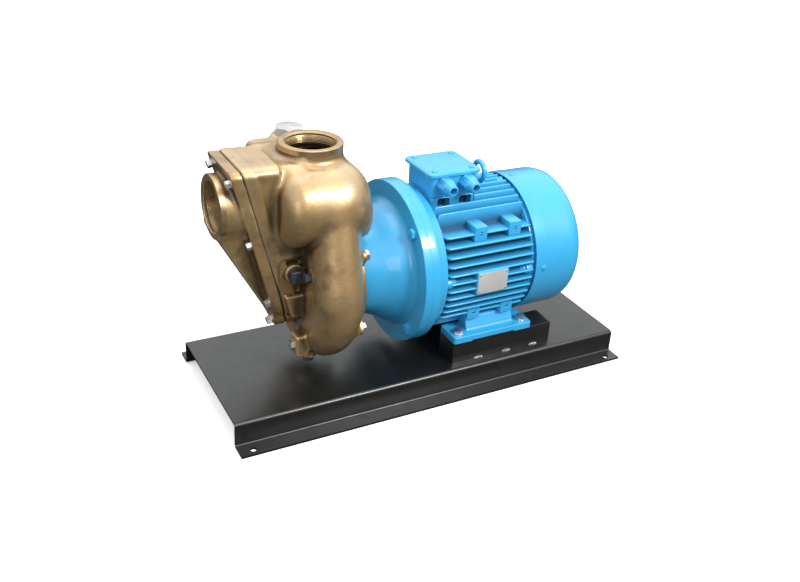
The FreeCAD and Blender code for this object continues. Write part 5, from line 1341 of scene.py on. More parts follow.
@dataclass
class SuctionCover:
    """The tilted suction cover with its port, hollow rib and seven bolts, and the gasket behind it."""

    joint: Joint
    step: float = 1.75
    mouth: float = -377.5
    level: float = 154.5
    port_outer: float = 54.5
    port_bore: float = 42.4
    bolts: tuple[tuple[float, float], ...] = (
        (49.0, 210.5), (-49.0, 210.5), (44.0, 97.5), (-44.0, 97.5), (33.5, -22.0), (-33.5, -22.0),
        (0.0, -75.0))

    def __post_init__(self) -> None:
        """Works out the distance table of the plate's outline."""
        self.plate = outline_distance(self.joint.outline())

    def rib(self, x: Array, y: Array, height: Array, draw_in: float, edge: float) -> Array:
        """The tapering rib below the port.

        Args:
            x: Stations.
            y: Places across.
            height: Heights above the shaft.
            draw_in: How far it is drawn in.
            edge: Radius of its edges.

        Returns:
            The distance field, its width and ridge being broken lines over the height.
        """
        half = np.interp(height, [-67.0, 69.0, 114.5, 160.0], [9.0, 27.5, 39.0, 39.0]) - draw_in
        ridge = np.interp(height, [-67.0, 92.5, 112.5, 160.0], [-278.9, -368.5, -377.5, -377.5]) + draw_in
        return rounded_and(edge, (np.abs(y) - half) * 0.99, (ridge - x) * 0.88,
                           -(height + 67.0) + draw_in * 2, height - self.level)

    def solid(self, x: Array, y: Array, z: Array) -> Array:
        """The cover casting as a distance field.

        Args:
            x: Stations.
            y: Places across.
            z: Heights from the floor.

        Returns:
            Plate, spout and rib blended, with the passage taken out.
        """
        height = z - SHAFT
        face = self.joint.depth(x, height)
        cosine = math.cos(math.radians(self.joint.tilt))
        front = (self.joint.gasket + self.joint.thickness) * cosine
        outline = self.plate(y, height)
        slab = rounded_and(2.0, outline + 0.3, face - front + 0.25)
        around = np.hypot(y, height - self.level)
        spout = rounded_and(2.0, around - self.port_outer + 0.25, self.mouth + 1.0 - x)
        body = blend(slab, spout, 9.0)
        body = blend(body, self.rib(x, y, height, 0.0, 3.5), 7.0)
        rear = self.joint.gasket * cosine - face
        body = rounded_and(0.6, body, rear + 0.25)
        passage = np.minimum(rounded_and(0.5, around - 44.6, -(x + 350.0)), around - 42.6)
        passage = np.minimum(passage, self.rib(x, y, height, 8.0, 3.0))
        lugs = rounded_and(1.0, np.abs(np.abs(y) - 17.6) - 4.3, np.abs(height - 206.0) - 5.5,
                           np.abs(x + 329.0) - 9.0)
        return np.minimum(carve(body, passage, 1.0), lugs)

    def build(self) -> None:
        """Builds the cover, its crisp plate edge, port mouth, gasket and bolt heads."""
        body = skin(self.solid, (-381.0, -60.0, 134.0), (-252.0, 60.0, 447.0), self.step)
        LOG.info("suction cover: %d faces", len(body.quads))
        finish_piece(body, "cover_casting", Look.BRONZE, ["suction_cover"])
        near, far = -(self.joint.gasket + self.joint.thickness), -self.joint.gasket
        edge = self.joint.rim_ring([(near + 3.0, 9.0), (near, 6.0), (near, 1.6), (near + 0.5, 0.5),
                                    (near + 1.5, 0.0), (far - 1.6, 0.0), (far - 1.25, 0.1), (far - 1.1, 0.4),
                                    (far - 1.1, 8.0)])
        finish_piece(edge, "cover_plate_edge", Look.BRONZE)
        face = (self.mouth, 0.0, SHAFT + self.level)
        mouth = threaded_ring(self.port_outer, self.port_bore, 28.0, 10.0, face, Axis.X, 1)
        finish_piece(mouth, "suction_port_mouth", Look.MACHINED)
        gasket = self.joint.rim_ring([(-3.1, 10.0), (-3.1, 1.3), (-2.9, 1.2), (0.9, 1.2), (1.1, 1.3),
                                      (1.1, 10.0)])
        finish_piece(gasket, "joint_gasket", Look.GASKET, ["cover_gasket"])
        heads = []
        for index, (across, height) in enumerate(self.bolts):
            head = merged(
                disc(7.2, 0.0, 1.0, (0, 0, 0), Axis.X, -1, 0.3),
                hexagon(13.0, 0.9, 9.0, (0, 0, 0), Axis.X, -1, turn=17.0 * index),
                disc(4.0, -32.0, 0.5, (0, 0, 0), Axis.X, -1, 0.3, 32))
            heads.append(self.joint.tilted(head, across, height))
        finish_piece(merged(*heads), "cover_bolt_heads", Look.ZINC, ["cover_bolts"])


@dataclass
class PumpPlugs:
    """Priming, side, vent and drain plugs, and the bolt in the front lug."""

    places: PlugPlaces

    def build(self) -> None:
        """Builds the plugs and the lug bolt."""
        at = (*self.places.priming, 0.0)
        cap = merged(hexagon(46.0, 456.0, 470.0, at, Axis.Z, turn=8.0, chamfer=0.97),
                     disc(14.9, 437.0, 457.0, at, Axis.Z))
        finish_piece(cap, "priming_plug_cap", Look.PLUG, ["priming_plug"])
        x, height = self.places.side
        at, half = (x, 0.0, SHAFT + height), 11.5
        square = block((x - half, -72.0, at[2] - half), (x + half, -57.5, at[2] + half), 1.2, Axis.Y, 1.6)
        side = merged(square, disc(13.5, -58.0, -55.0, at, Axis.Y, 1, 0.4),
                      disc(7.9, -56.0, -42.0, at, Axis.Y))
        finish_piece(side, "side_plug_square", Look.SLATE, ["side_plug"])
        at = (0.0, self.places.vent[0], SHAFT + self.places.vent[1])
        vent = merged(hexagon(15.0, 237.0, 250.0, at, Axis.X, -1, turn=12.0),
                      disc(3.9, 231.0, 238.0, at, Axis.X, -1, 0.3, 32))
        finish_piece(vent, "vent_plug_hex", Look.SLATE, ["vent_plug"])
        at = (*self.places.drain, 0.0)
        drain = merged(hexagon(19.0, -66.0, -56.0, at, Axis.Z, -1, turn=20.0),
                       disc(5.9, -80.0, -65.0, at, Axis.Z, -1, 0.4, 48))
        finish_piece(drain, "drain_plug_hex", Look.SLATE, ["drain_plug"])
        at = (0.0, self.places.lug[0], SHAFT + self.places.lug[1])
        lug = merged(hexagon(16.0, 256.0, 262.5, at, Axis.X, -1, turn=9.0),
                     disc(4.9, 238.0, 257.0, at, Axis.X, -1, 0.4, 32))
        finish_piece(lug, "lug_bolt_head", Look.ZINC, ["lug_bolt"])


@dataclass
class Bracket:
    """The pump's back cover and the blue conical lantern that carries the pump on the motor."""

    nose: float = -146.0
    rear: float = -37.7
    flange: float = 150.0
    flange_face: float = -52.7
    flange_bolts: float = 132.5

    def ear_outline(self) -> Array:
        """Outline of the back cover: a disc with five round ears.

        Returns:
            Points at radius max(111, c cos p + sqrt(144 - c^2 sin^2 p)), p being the angle from an ear.
        """
        t = np.arange(720) * 2 * math.pi / 720
        away = np.mod(t + math.pi / 5, 2 * math.pi / 5) - math.pi / 5
        inside = 12.0 ** 2 - (EAR_CIRCLE * np.sin(away)) ** 2
        ear = EAR_CIRCLE * np.cos(away) + np.sqrt(np.maximum(inside, 0.0))
        radius = np.where(inside > 0, np.maximum(ear, 111.0), 111.0)
        kernel = np.hanning(13) / np.hanning(13).sum()
        wrapped = np.concatenate([radius[-6:], radius, radius[:6]])
        radius = np.minimum(np.convolve(wrapped, kernel, "valid"), 131.0)
        return radius[:, None] * np.stack([np.cos(t), np.sin(t)], axis=-1) + np.array([0.0, SHAFT])

    def build(self) -> None:
        """Builds the back cover with its bolts, the lantern and the flange bolts."""
        cover = plate(self.ear_outline(), -152.9, self.nose, Axis.X, 0.9)
        section = soften([(-168.0, 60.0), (-168.0, 110.8), (-150.0, 110.8), (-150.0, 29.0), (-162.0, 29.0),
                          (-162.0, 60.0)], 0.6)
        spigot = lathe(section, AT_SHAFT, Axis.X)
        finish_piece(merged(cover, spigot), "back_cover_plate", Look.BRONZE, ["back_cover"])
        heads = []
        for index in range(5):
            at = on_circle(EAR_CIRCLE, 72 * index)
            heads.append(hexagon(17.0, -146.0, -139.5, at, Axis.X, turn=11.0 * index))
            heads.append(disc(4.9, -161.0, -145.0, at, Axis.X, 1, 0.3, 32))
        finish_piece(merged(*heads), "back_cover_bolt_heads", Look.ZINC, ["back_cover_bolts"])

        rear = self.rear
        outer = soften([(self.nose, 72.0), (self.nose, 80.0), (-134.0, 83.0), (rear - 63.0, 91.0),
                        (rear - 37.0, 107.0), (-59.7, 111.5), (self.flange_face, 119.0),
                        (self.flange_face, self.flange), (rear, self.flange)],
                       [0.0, 1.5, 6.0, 14.0, 12.0, 7.0, 7.0, 2.2, 1.2], 6, closed=False)
        inner = [(rear, 115.05), (rear - 4.5, 115.05), (rear - 4.5, 100.0), (-60.0, 100.0),
                 (rear - 40.0, 95.0), (rear - 63.0, 82.0), (-134.0, 74.0), (-134.0, 40.0), (self.nose, 40.0)]
        lantern = lathe(np.concatenate([outer, inner]), AT_SHAFT, Axis.X, segments=192)
        finish_piece(lantern, "lantern_cone", Look.BLUE, ["lantern_bracket"])
        bolts = []
        for index in range(4):
            at = on_circle(self.flange_bolts, 45 + 90 * index)
            bolts.append(hexagon(18.0, 52.6, 60.4, at, Axis.X, -1, turn=13.0 * index + 5.0))
            bolts.append(disc(9.6, 52.5, 53.4, at, Axis.X, -1, 0.3, 64))
            bolts.append(disc(5.9, 23.0, 53.0, at, Axis.X, -1, 0.4, 48))
        finish_piece(merged(*bolts), "flange_bolt_heads", Look.BLUE, ["flange_bolts"])


# The motor


@dataclass
class MotorFrame:
    """The finned motor frame with its pads, both endshields, the rating plate and the lifting eye."""

    end: float = 183.0
    root: float = 111.0
    tip: float = 134.0
    taper: float = 118.0
    side_pitch: float = 15.8
    top_pitch: float = 14.5
    thickness: float = 4.6
    stud_circle: float = 122.0
    windows: tuple[float, float] = (32.0, 76.5)
    lug_stations: tuple[float, float] = (76.0, 148.0)
    lug_rises: tuple[float, float] = (-79.5, 79.5)

    def fin(self, level: float, top: bool, sign: int, start: float = 0.0) -> Surface:
        """One cooling fin.

        Args:
            level: Its distance from the shaft plane that it is parallel to.
            top: True for upright fins above or below, False for level fins at the sides.
            sign: 1 or -1, the side that it is on.
            start: Station where it begins.

        Returns:
            A bar with a round crest, its crest at sqrt(envelope^2 - level^2), and the envelope rising from
            the taper to the tip over the first fourteen millimetres.
        """
        run = np.array([0.0, 0.5, 1.6, 4.0, 7.0, 9.5, 13.0, 50.0, 100.0, 178.0, 181.4, 182.6, 183.0])
        station = start + run * (self.end - start) / self.end
        away = np.minimum(station - start, self.end - station)
        heights = [self.taper, self.tip - 3.2, self.tip - 0.9, self.tip]
        envelope = np.interp(station, [0.0, 6.5, 9.5, 14.0], heights)
        crest = np.sqrt(envelope ** 2 - level ** 2) - (1.4 - np.minimum(away, 1.4))
        foot = math.sqrt((self.root - 6.0) ** 2 - level ** 2) if abs(level) < self.root - 7 else 20.0
        t = np.linspace(0.0, math.pi, 9)
        half = self.thickness / 2
        flat = np.concatenate([[[0.0, 1.0]], np.stack([np.ones_like(t), np.cos(t)], axis=-1), [[0.0, -1.0]]])
        bulge = np.concatenate([[0.0], np.sin(t), [0.0]]) * (half - 0.35)
        width = np.where(flat[:, 0] > 0.5, half - 0.35, half + 0.25)
        pinch = 1.0 - 0.22 * np.clip(1.0 - away / 1.4, 0.0, 1.0)
        reach = foot + (crest[:, None] - (half - 0.35) - foot) * flat[None, :, 0] + bulge[None]
        spread = flat[None, :, 1] * width[None] * pinch[:, None]
        x = np.broadcast_to(station[:, None], reach.shape)
        if top:
            rings = np.stack([x, level + spread, SHAFT + sign * reach], axis=-1)
        else:
            rings = np.stack([x, sign * reach, SHAFT + level + spread], axis=-1)
        return grid(rings)

    def solid(self, x: Array, y: Array, z: Array) -> Array:
        """The frame's cast pads as a distance field.

        Args:
            x: Stations.
            y: Places across.
            z: Heights from the floor.

        Returns:
            The terminal box pedestal with four recesses, and the boss under the lifting eye.
        """
        height = z - SHAFT
        base = rounded_and(5.0, np.abs(x - 50.5) - 45.0, np.abs(y) - 45.0, z - 352.9, 300.0 - z)
        for middle in self.windows:
            pocket = rounded_and(4.0, np.abs(x - middle) - 12.5, 27.0 - np.abs(y), np.abs(z - 336.0) - 13.0)
            base = carve(base, pocket, 1.5)
        boss = rounded_and(3.0, np.hypot(x - 131.0, y) - 13.0, z - 348.9, 300.0 - z)
        drum = rounded_and(1.0, np.hypot(y, height) - self.root + 0.3, np.abs(x - 91.5) - 90.0)
        return blend(drum, np.minimum(base, boss), 8.0)

    def build_frame(self) -> None:
        """Builds drum, fins, bosses, lugs and pads."""
        span = np.arange(-5, 6)
        parts = [self.fin(self.side_pitch * k, False, s) for k in span for s in (-1, 1)]
        parts += [self.fin(self.top_pitch * k, True, -1) for k in span]
        parts += [self.fin(self.top_pitch * k, True, 1, 95.0 if abs(k) < 4 else 0.0) for k in span]
        drum = lathe(soften([(0.0, 106.0), (0.0, self.root), (self.end, self.root), (self.end, 106.0)], 1.2),
                     AT_SHAFT, Axis.X, segments=192)
        parts.append(drum)
        boss, inner, outer = 10.0, 100.0, 121.0
        for index in range(4):
            angle = math.radians(90 * index)
            at = on_circle(self.stud_circle, 90 * index)
            way = np.array([math.cos(angle), math.sin(angle)])
            ends = np.sort([inner * way, outer * way], axis=0)
            first = ends[0] - boss * np.abs(way[::-1])
            last = ends[1] + boss * np.abs(way[::-1])
            for low in (0.0, 169.0):
                parts.append(disc(boss, low, low + 14.0, at, Axis.X, 1, 1.2, 64))
            for low in (0.2, 169.2):
                parts.append(block((low, first[0], SHAFT + first[1]), (low + 13.6, last[0], SHAFT + last[1]),
                                   1.0, Axis.X, 1.0))
        for station in self.lug_stations:
            for rise in self.lug_rises:
                z = SHAFT + rise
                outline = round_rectangle(station - 13.0, station + 13.0, z - 14.0, z + 14.0, 2.5, 8)
                lug = pierced(outline, (station, z), 4.2, -109.5, -60.0, 12.0, Axis.Y)
                parts += [lug, lug.mirrored()]
        parts.append(block((61.0, -134.3, 192.0), (127.0, -100.0, 237.0), 1.2, Axis.Y, 2.5))
        finish_piece(merged(*parts), "motor_frame_fins", Look.FINS, ["motor_frame"])
        pads = skin(self.solid, (1.0, -52.0, 296.0), (150.0, 52.0, 357.0), 1.5)
        finish_piece(pads, "motor_frame_pads", Look.BLUE)
        # Dark sheets at the backs of the pedestal's windows: painted shade there.
        window_shade_sheets = []
        for middle in self.windows:
            for side in (-28.0, 28.0):
                window_shade_sheets.append(block((middle - 13.0, side - 1.5, 322.0), (middle + 13.0, side + 1.5, 350.0),
                                    0.4, Axis.Y, 1.0))
        finish_piece(merged(*window_shade_sheets), "pedestal_window_shade_sheets", Look.SHADED)

    def build_endshields(self) -> None:
        """Builds the drive-side and fan-side endshields and the nuts that hold them."""
        flange = 150.0
        outside = soften([(-37.7, 60.0), (-37.7, flange), (-21.7, flange), (-21.7, 142.0), (-17.7, 138.0),
                          (0.0, 134.5), (5.9, 111.5)], [0.0, 1.2, 2.2, 3.0, 3.0, 1.2, 0.0], 5, closed=False)
        inside = [(5.9, 100.0), (-12.0, 96.0), (-20.0, 60.0)]
        front = lathe(np.concatenate([outside, inside]), AT_SHAFT, Axis.X, segments=192)
        finish_piece(front, "drive_endshield_ring", Look.BLUE, ["drive_endshield"])
        rim = 125.5
        outside = soften([(183.1, 96.0), (183.1, rim), (212.0, rim), (212.0, 116.5)], [0.0, 1.2, 1.0, 0.0], 3,
                         closed=False)
        inside = [(198.5, 116.5), (198.5, 62.0), (212.8, 58.0), (212.8, 42.0), (189.0, 42.0), (186.5, 96.0)]
        rear = [lathe(np.concatenate([outside, inside]), AT_SHAFT, Axis.X, segments=160)]
        for axis, sign in FOUR_WAYS:
            rear.append(disc(6.4, 120.0, 131.8, (205.0, 0.0, SHAFT), axis, sign, 0.8, 48))
        finish_piece(merged(*rear), "fan_endshield_ring", Look.BLUE, ["rear_endshield"])
        nuts = []
        for index in range(4):
            at = on_circle(self.stud_circle, 90 * index)
            nuts.append(hexagon(13.0, 14.0, 21.0, at, Axis.X, 1, 8.0 * index, both=True))
            nuts.append(hexagon(13.0, 162.0, 169.0, at, Axis.X, 1, 5.0 * index, both=True))
            nuts.append(disc(3.9, -11.5, 23.7, at, Axis.X, 1, 0.6, 32))
            nuts.append(disc(3.9, 159.3, 193.5, at, Axis.X, 1, 0.6, 32))
        finish_piece(merged(*nuts), "endshield_nut_set", Look.BLUE, ["endshield_nuts"])

    def build_plate_and_eye(self) -> None:
        """Builds the bare rating plate, its rivets and the lifting eye."""
        blank = block((63.0, -135.1, 194.0), (125.0, -134.25, 235.0), 0.2, Axis.Y, 1.6)
        finish_piece(blank, "rating_plate_blank", Look.NAMEPLATE, ["rating_plate"])
        rivets = []
        for x in (66.5, 121.5):
            for z in (197.5, 231.5):
                rivets.append(disc(1.7, 135.1, 136.0, (x, 0.0, z), Axis.Y, -1, 0.5, 32))
        finish_piece(merged(*rivets), "plate_rivet_heads", Look.ZINC, ["plate_rivets"])

        def eye(x: Array, y: Array, z: Array) -> Array:
            """Returns: the eye's ring, foot and stem blended."""
            ring = np.hypot(np.hypot(y, z - 373.0) - 17.5, x - 131.0) - 4.95
            foot = rounded_and(1.2, np.hypot(x - 131.0, y) - 12.0, np.abs(z - 351.0) - 2.0)
            neck = rounded_and(1.0, np.hypot(x - 131.0, y) - 7.0, np.abs(z - 352.0) - 6.0)
            stem = rounded_and(0.5, np.hypot(x - 131.0, y) - 4.9, np.abs(z - 343.0) - 7.0)
            return np.minimum(blend(ring, blend(foot, neck, 2.0), 3.0), stem)

        surface = skin(eye, (118.0, -24.0, 334.0), (144.0, 24.0, 397.0), 0.8)
        finish_piece(surface, "lifting_eye_ring", Look.BLUE, ["lifting_eye"])

    def build(self) -> None:
        """Builds the whole sub-assembly."""
        self.build_frame()
        self.build_endshields()
        self.build_plate_and_eye()


@dataclass
class FanCover:
    """The pressed fan cover with its ring grille and four screws."""

    start: float = 187.4
    radius: float = 134.4
    seam: float = 215.4
    crease: float = 272.0
    end: float = 298.5
    flat: float = 112.0
    sheet: float = 1.6
    slots: int = 5
    hub: float = 30.0
    pitch: float = 13.6
    slot: float = 8.0
    reach: float = 99.0

    def build(self) -> None:
        """Builds the shell, the grille rings and ribs, and the screws."""
        sheet = self.sheet
        outer = soften([(self.start, self.radius), (self.seam, self.radius),
                        (self.seam + 0.6, self.radius - 0.6), (self.crease, self.radius - 0.6),
                        (287.0, 128.5), (295.0, 120.0), (self.end, self.flat), (self.end, 98.0)],
                       [0.0, 0.2, 0.2, 9.0, 6.0, 5.0, 3.0, 0.0], 5, closed=False)
        inner = outer[::-1] - np.array([sheet, 0.0]) * (outer[::-1][:, :1] > 280) - np.array([0.0, sheet])
        inner[:, 1] = np.minimum(inner[:, 1], self.radius - sheet - 0.3)
        inner[0] = (self.end - sheet, 98.0)
        shell = [lathe(np.concatenate([outer, inner]), AT_SHAFT, Axis.X, segments=224)]
        back = self.end - sheet
        shell.append(disc(self.hub, back, self.end, AT_SHAFT, Axis.X, 1, 0.3, 128))
        for index in range(1, self.slots + 1):
            low = self.hub + self.pitch * (index - 1) + self.slot
            high = self.hub + self.pitch * index if index < self.slots else self.reach
            section = soften([(back, low), (back, high), (self.end, high), (self.end, low)], 0.35)
            shell.append(lathe(section, AT_SHAFT, Axis.X, segments=192))
        rib = block((back - 0.05, -3.5, SHAFT - self.reach), (self.end - 0.1, 3.5, SHAFT + self.reach), 0.3,
                    Axis.X, 0.3)
        for index in range(3):
            shell.append(rib.turned(Axis.X, 60 * index + 30, AT_SHAFT))
        finish_piece(merged(*shell), "fan_cover_shell", Look.BLUE, ["fan_cover"])
        seat = self.radius
        head = soften([(seat - 12.0, 3.0), (seat - 0.1, 3.0), (seat, 5.5), (seat + 1.2, 5.4),
                       (seat + 2.5, 3.0), (seat + 2.6, 0.6)], [0.0, 0.2, 0.3, 0.6, 1.2, 0.0], 4, closed=False)
        screws = [lathe(head, (205.0, 0.0, SHAFT), axis, sign, 64, closed=False) for axis, sign in FOUR_WAYS]
        finish_piece(merged(*screws), "fan_cover_screw_heads", Look.BLUE, ["fan_cover_screws"])


@dataclass
class TerminalBox:
    """The terminal box on its pedestal, with lid, gasket, screws and two cable glands."""

    front: float = 4.5
    back: float = 96.5
    half: float = 46.0
    floor: float = 353.0
    top: float = 391.0
    glands: tuple[float, float] = (27.5, 73.5)
    gland_level: float = 378.0

    def gland_part(self, x: float, stations: Sequence[tuple[float, Optional[float]]]) -> Surface:
        """A hollow part of a gland, round or hexagonal from ring to ring.

        The hexagon's wall stands at 13.5 / cos(t mod 60 - 30), with its corners cut off at 15.4.

        Args:
            x: Station of the gland.
            stations: Level and radius of each ring, None being the hexagon.

        Returns:
            The closed surface.
        """
        t = np.arange(144) * 2 * math.pi / 144
        wall = np.minimum(13.5 / np.cos(np.mod(t, math.pi / 3) - math.pi / 6), 15.4)
        level = np.array([item[0] for item in stations])
        radius = np.stack([wall if item[1] is None else np.full_like(wall, item[1]) for item in stations])
        flat = radius[..., None] * np.stack([np.cos(t), np.sin(t)], axis=-1)[None]
        rings = place_ring(flat, level[:, None], Axis.Y) + np.array([x, 0.0, self.gland_level])
        return grid(rings, closed=True)

    def build(self) -> None:
        """Builds box, gasket, lid, screws and glands."""
        outline = round_rectangle(self.front, self.back, -self.half, self.half, 8.0, 10)
        shell = plate(outline, self.floor, self.top, Axis.Z, 1.0)
        finish_piece(shell, "terminal_box_shell", Look.BLUE, ["terminal_box", "terminal_board"])
        seal = plate(inset(outline, 0.4), self.top - 0.2, 392.3, Axis.Z, 0.1)
        finish_piece(seal, "lid_seal", Look.GASKET, ["lid_gasket"])
        over = round_rectangle(self.front - 7.5, self.back + 7.5, -self.half - 5.0, self.half + 5.5, 11.0, 12)
        level = np.array([392.2, 392.6, 397.4, 398.2, 399.4, 399.85, 400.0])
        draw_in = np.array([0.7, 0.0, 0.0, 0.6, 2.6, 3.6, 4.6])
        lid = grid(place_ring(inset(over, draw_in), level[:, None], Axis.Z))
        finish_piece(lid, "terminal_lid_plate", Look.BLUE, ["terminal_lid"])
        head = soften([(398.8, 5.0), (401.8, 5.0), (402.6, 3.2), (403.0, 0.5)], [0.0, 0.5, 1.0, 0.0], 4,
                      closed=False)
        screws = []
        for x in (12.5, 88.5):
            for y in (-38.0, 38.0):
                screws.append(lathe(head, (x, y, 0.0), Axis.Z, 1, 64, closed=False))
                screws.append(disc(2.4, 377.0, 399.0, (x, y, 0.0), Axis.Z, 1, 0.3, 24))
        finish_piece(merged(*screws), "lid_screw_heads", Look.BLUE, ["lid_screws"])
        neck = soften([(-53.2, 6.5), (-53.2, 9.8), (-66.0, 9.8), (-66.0, 6.5)], 0.3)
        bodies, nuts = [], []
        for x in self.glands:
            bodies.append(self.gland_part(x, [(-45.8, 13.2), (-46.6, None), (-52.2, None), (-53.0, 13.2),
                                              (-53.0, 6.5), (-40.5, 6.5)]))
            bodies.append(lathe(neck, (x, 0.0, self.gland_level), Axis.Y))
            nuts.append(self.gland_part(x, [(-54.0, 13.2), (-54.9, None), (-68.9, None), (-70.2, 13.2),
                                            (-71.0, 12.6), (-76.0, 11.7), (-81.0, 10.2), (-83.4, 9.0),
                                            (-84.0, 8.2), (-84.0, 6.6), (-82.0, 6.5), (-55.0, 6.5),
                                            (-54.0, 7.0)]))
        finish_piece(merged(*bodies), "gland_body_pair", Look.BLUE, ["gland_bodies"])
        finish_piece(merged(*nuts), "gland_nut_pair", Look.BLUE, ["gland_nuts"])


# The base


@dataclass
class Base:
    """The folded base plate, the two riser bars, their welds and the motor's feet."""

    length: float = 785.0
    half: float = 142.0
    lip: float = 174.0
    height: float = 47.0
    sheet: float = 4.0
    bend: float = 3.0
    holes: tuple[float, float, float] = (368.2, 161.8, 5.5)

    def section(self) -> tuple[Array, Array]:
        """Section of the folded plate, its sheet turned out into lips at the foot.

        Returns:
            The sheet's upper and lower face across and up, point for point: a line of square corners rounded
            by the bend, and the same line moved by the sheet along its normals.
        """
        t = np.linspace(0.0, math.pi / 2, 9)
        turn = np.stack([np.cos(t), np.sin(t)], axis=-1)
        outer, inner = self.bend + self.sheet, self.bend
        top = np.array([self.half - outer, self.height - outer])
        foot = np.array([self.half + inner, self.sheet + inner])
        over = np.concatenate([[(self.lip, self.sheet)], foot - inner * turn[:, ::-1], top + outer * turn])
        under = np.concatenate([[(self.lip, 0.0)], foot - outer * turn[:, ::-1], top + inner * turn])
        flip = np.array([-1.0, 1.0])
        return np.concatenate([over, over[::-1] * flip]), np.concatenate([under, under[::-1] * flip])

    def build_plate(self) -> None:
        """Builds the plate and drills its four lip holes."""
        over, under = self.section()
        count = len(over)
        outline = np.concatenate([over, under[::-1]])
        level = np.array([-self.length / 2, self.length / 2])
        rings = place_ring(np.stack([outline, outline]), level[:, None], Axis.X)
        sheet = grid(rings)
        index = np.arange(count - 1)
        end = np.stack([index, index + 1, 2 * count - 2 - index, 2 * count - 1 - index], axis=-1)
        walls = Surface(sheet.points, grid(rings, closed=True).quads[:2 * count], [])
        both = np.concatenate([walls.quads, end[:, ::-1], end + 2 * count])
        obj = Surface(sheet.points, both).outward().build("base_plate_sheet", 30.0)
        x, y, radius = self.holes
        drills = merged(*(disc(radius, -3.0, 8.0, (sx * x, sy * y, 0.0), Axis.Z, 1, 0.2, 64)
                          for sx in (-1, 1) for sy in (-1, 1))).build("drills")
        cut = obj.modifiers.new("holes", "BOOLEAN")
        cut.operation = "DIFFERENCE"
        cut.solver = "EXACT"
        cut.object = drills
        ready = obj.evaluated_get(bpy.context.evaluated_depsgraph_get())
        mesh = bpy.data.meshes.new_from_object(ready)
        obj.modifiers.clear()
        obj.data = mesh
        mesh.name = "base_plate_sheet"
        bpy.data.objects.remove(drills, do_unlink=True)
        mesh.polygons.foreach_set("use_smooth", np.ones(len(mesh.polygons), dtype=bool))
        mesh.set_sharp_from_angle(angle=math.radians(30.0))
        paint(obj, Look.BLACK)
        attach(obj, CARRIER)
        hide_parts("base_plate")

    def build_risers(self) -> None:
        """Builds the riser bars and their weld beads."""
        outline = round_rectangle(32.0, 250.0, -120.5, -70.0, 1.2, 6)
        bar = pierced(outline, (238.0, -95.0), 3.0, 89.0, 46.9, 14.0, Axis.Z, 0.9)
        finish_piece(bar, "riser_bar_right", Look.BLACK, ["riser_block_right"])
        finish_piece(bar.mirrored(), "riser_bar_left", Look.BLACK, ["riser_block_left"])
        beads = []
        t = np.linspace(0.0, 2 * math.pi, 24, endpoint=False)
        run = np.linspace(0.0, 19.0, 61)
        arch = np.sqrt(np.clip(1.0 - ((run - 9.5) / 9.6) ** 2, 0.02, 1.0))
        ripple = 1.0 + 0.16 * np.cos(run * 2.4)
        radius = 5.0 * (arch * ripple)[:, None] * np.ones_like(t)
        for x in (79.0, 141.5, 203.0):
            rings = np.stack([
                np.broadcast_to(x + run[:, None], radius.shape),
                -120.2 + radius * np.cos(t) * 0.9,
                47.2 + radius * np.sin(t) * 0.9,
            ], axis=-1)
            beads += [grid(rings), grid(rings).mirrored()]
        finish_piece(merged(*beads), "weld_bead_set", Look.WELD, ["weld_beads"])

    def foot(self, x: Array, y: Array, z: Array) -> Array:
        """The right-hand motor foot as a distance field.

        Args:
            x: Stations.
            y: Places across.
            z: Heights from the floor.

        Returns:
            The plate and its web, blended, with the relief under it and the bolt holes.
        """
        sole = rounded_and(1.6, rounded_and(6.0, np.abs(x - 115.5) - 85.0, np.abs(y + 97.0) - 28.0),
                           np.abs(z - 96.0) - 6.9)
        slope = (z - 123.5) * 0.4 - (y + 100.0) * 0.92
        web = rounded_and(2.5, np.abs(x - 116.0) - 51.0, slope, y + 77.0, z - 127.4, 95.0 - z, -(y + 121.0))
        body = blend(sole, web, 5.0)
        relief = rounded_and(0.8, np.abs(x - 116.0) - 46.0, z - 92.0)
        body = carve(body, relief, 0.8)
        for station in (47.0, 185.0):
            body = carve(body, np.hypot(x - station, y + 108.0) - 5.5, 0.8)
        return body

    def build_feet(self) -> None:
        """Builds the two feet, their washers and bolts."""
        foot = skin(self.foot, (28.0, -127.0, 80.0), (203.0, -66.0, 130.0), 1.45)
        finish_piece(foot, "motor_foot_casting_right", Look.BLUE, ["motor_foot_right"])
        finish_piece(foot.mirrored(), "motor_foot_casting_left", Look.BLUE, ["motor_foot_left"])
        washers, heads = [], []
        for index, x in enumerate((47.0, 185.0)):
            for y in (-108.0, 108.0):
                ring = soften([(103.0, 5.3), (103.0, 10.0), (105.0, 10.0), (105.0, 5.3)], 0.35)
                washers.append(lathe(ring, (x, y, 0.0), Axis.Z))
                heads.append(hexagon(17.0, 105.0, 111.5, (x, y, 0.0), Axis.Z, 1, 14.0 + 21.0 * index))
                heads.append(disc(4.9, 64.5, 106.0, (x, y, 0.0), Axis.Z, 1, 0.6, 32))
        finish_piece(merged(*washers), "foot_washer_set", Look.ZINC, ["foot_washers"])
        finish_piece(merged(*heads), "foot_bolt_set", Look.ZINC, ["foot_bolts"])

    def build(self) -> None:
        """Builds the whole sub-assembly."""
        self.build_plate()
        self.build_risers()
        self.build_feet()


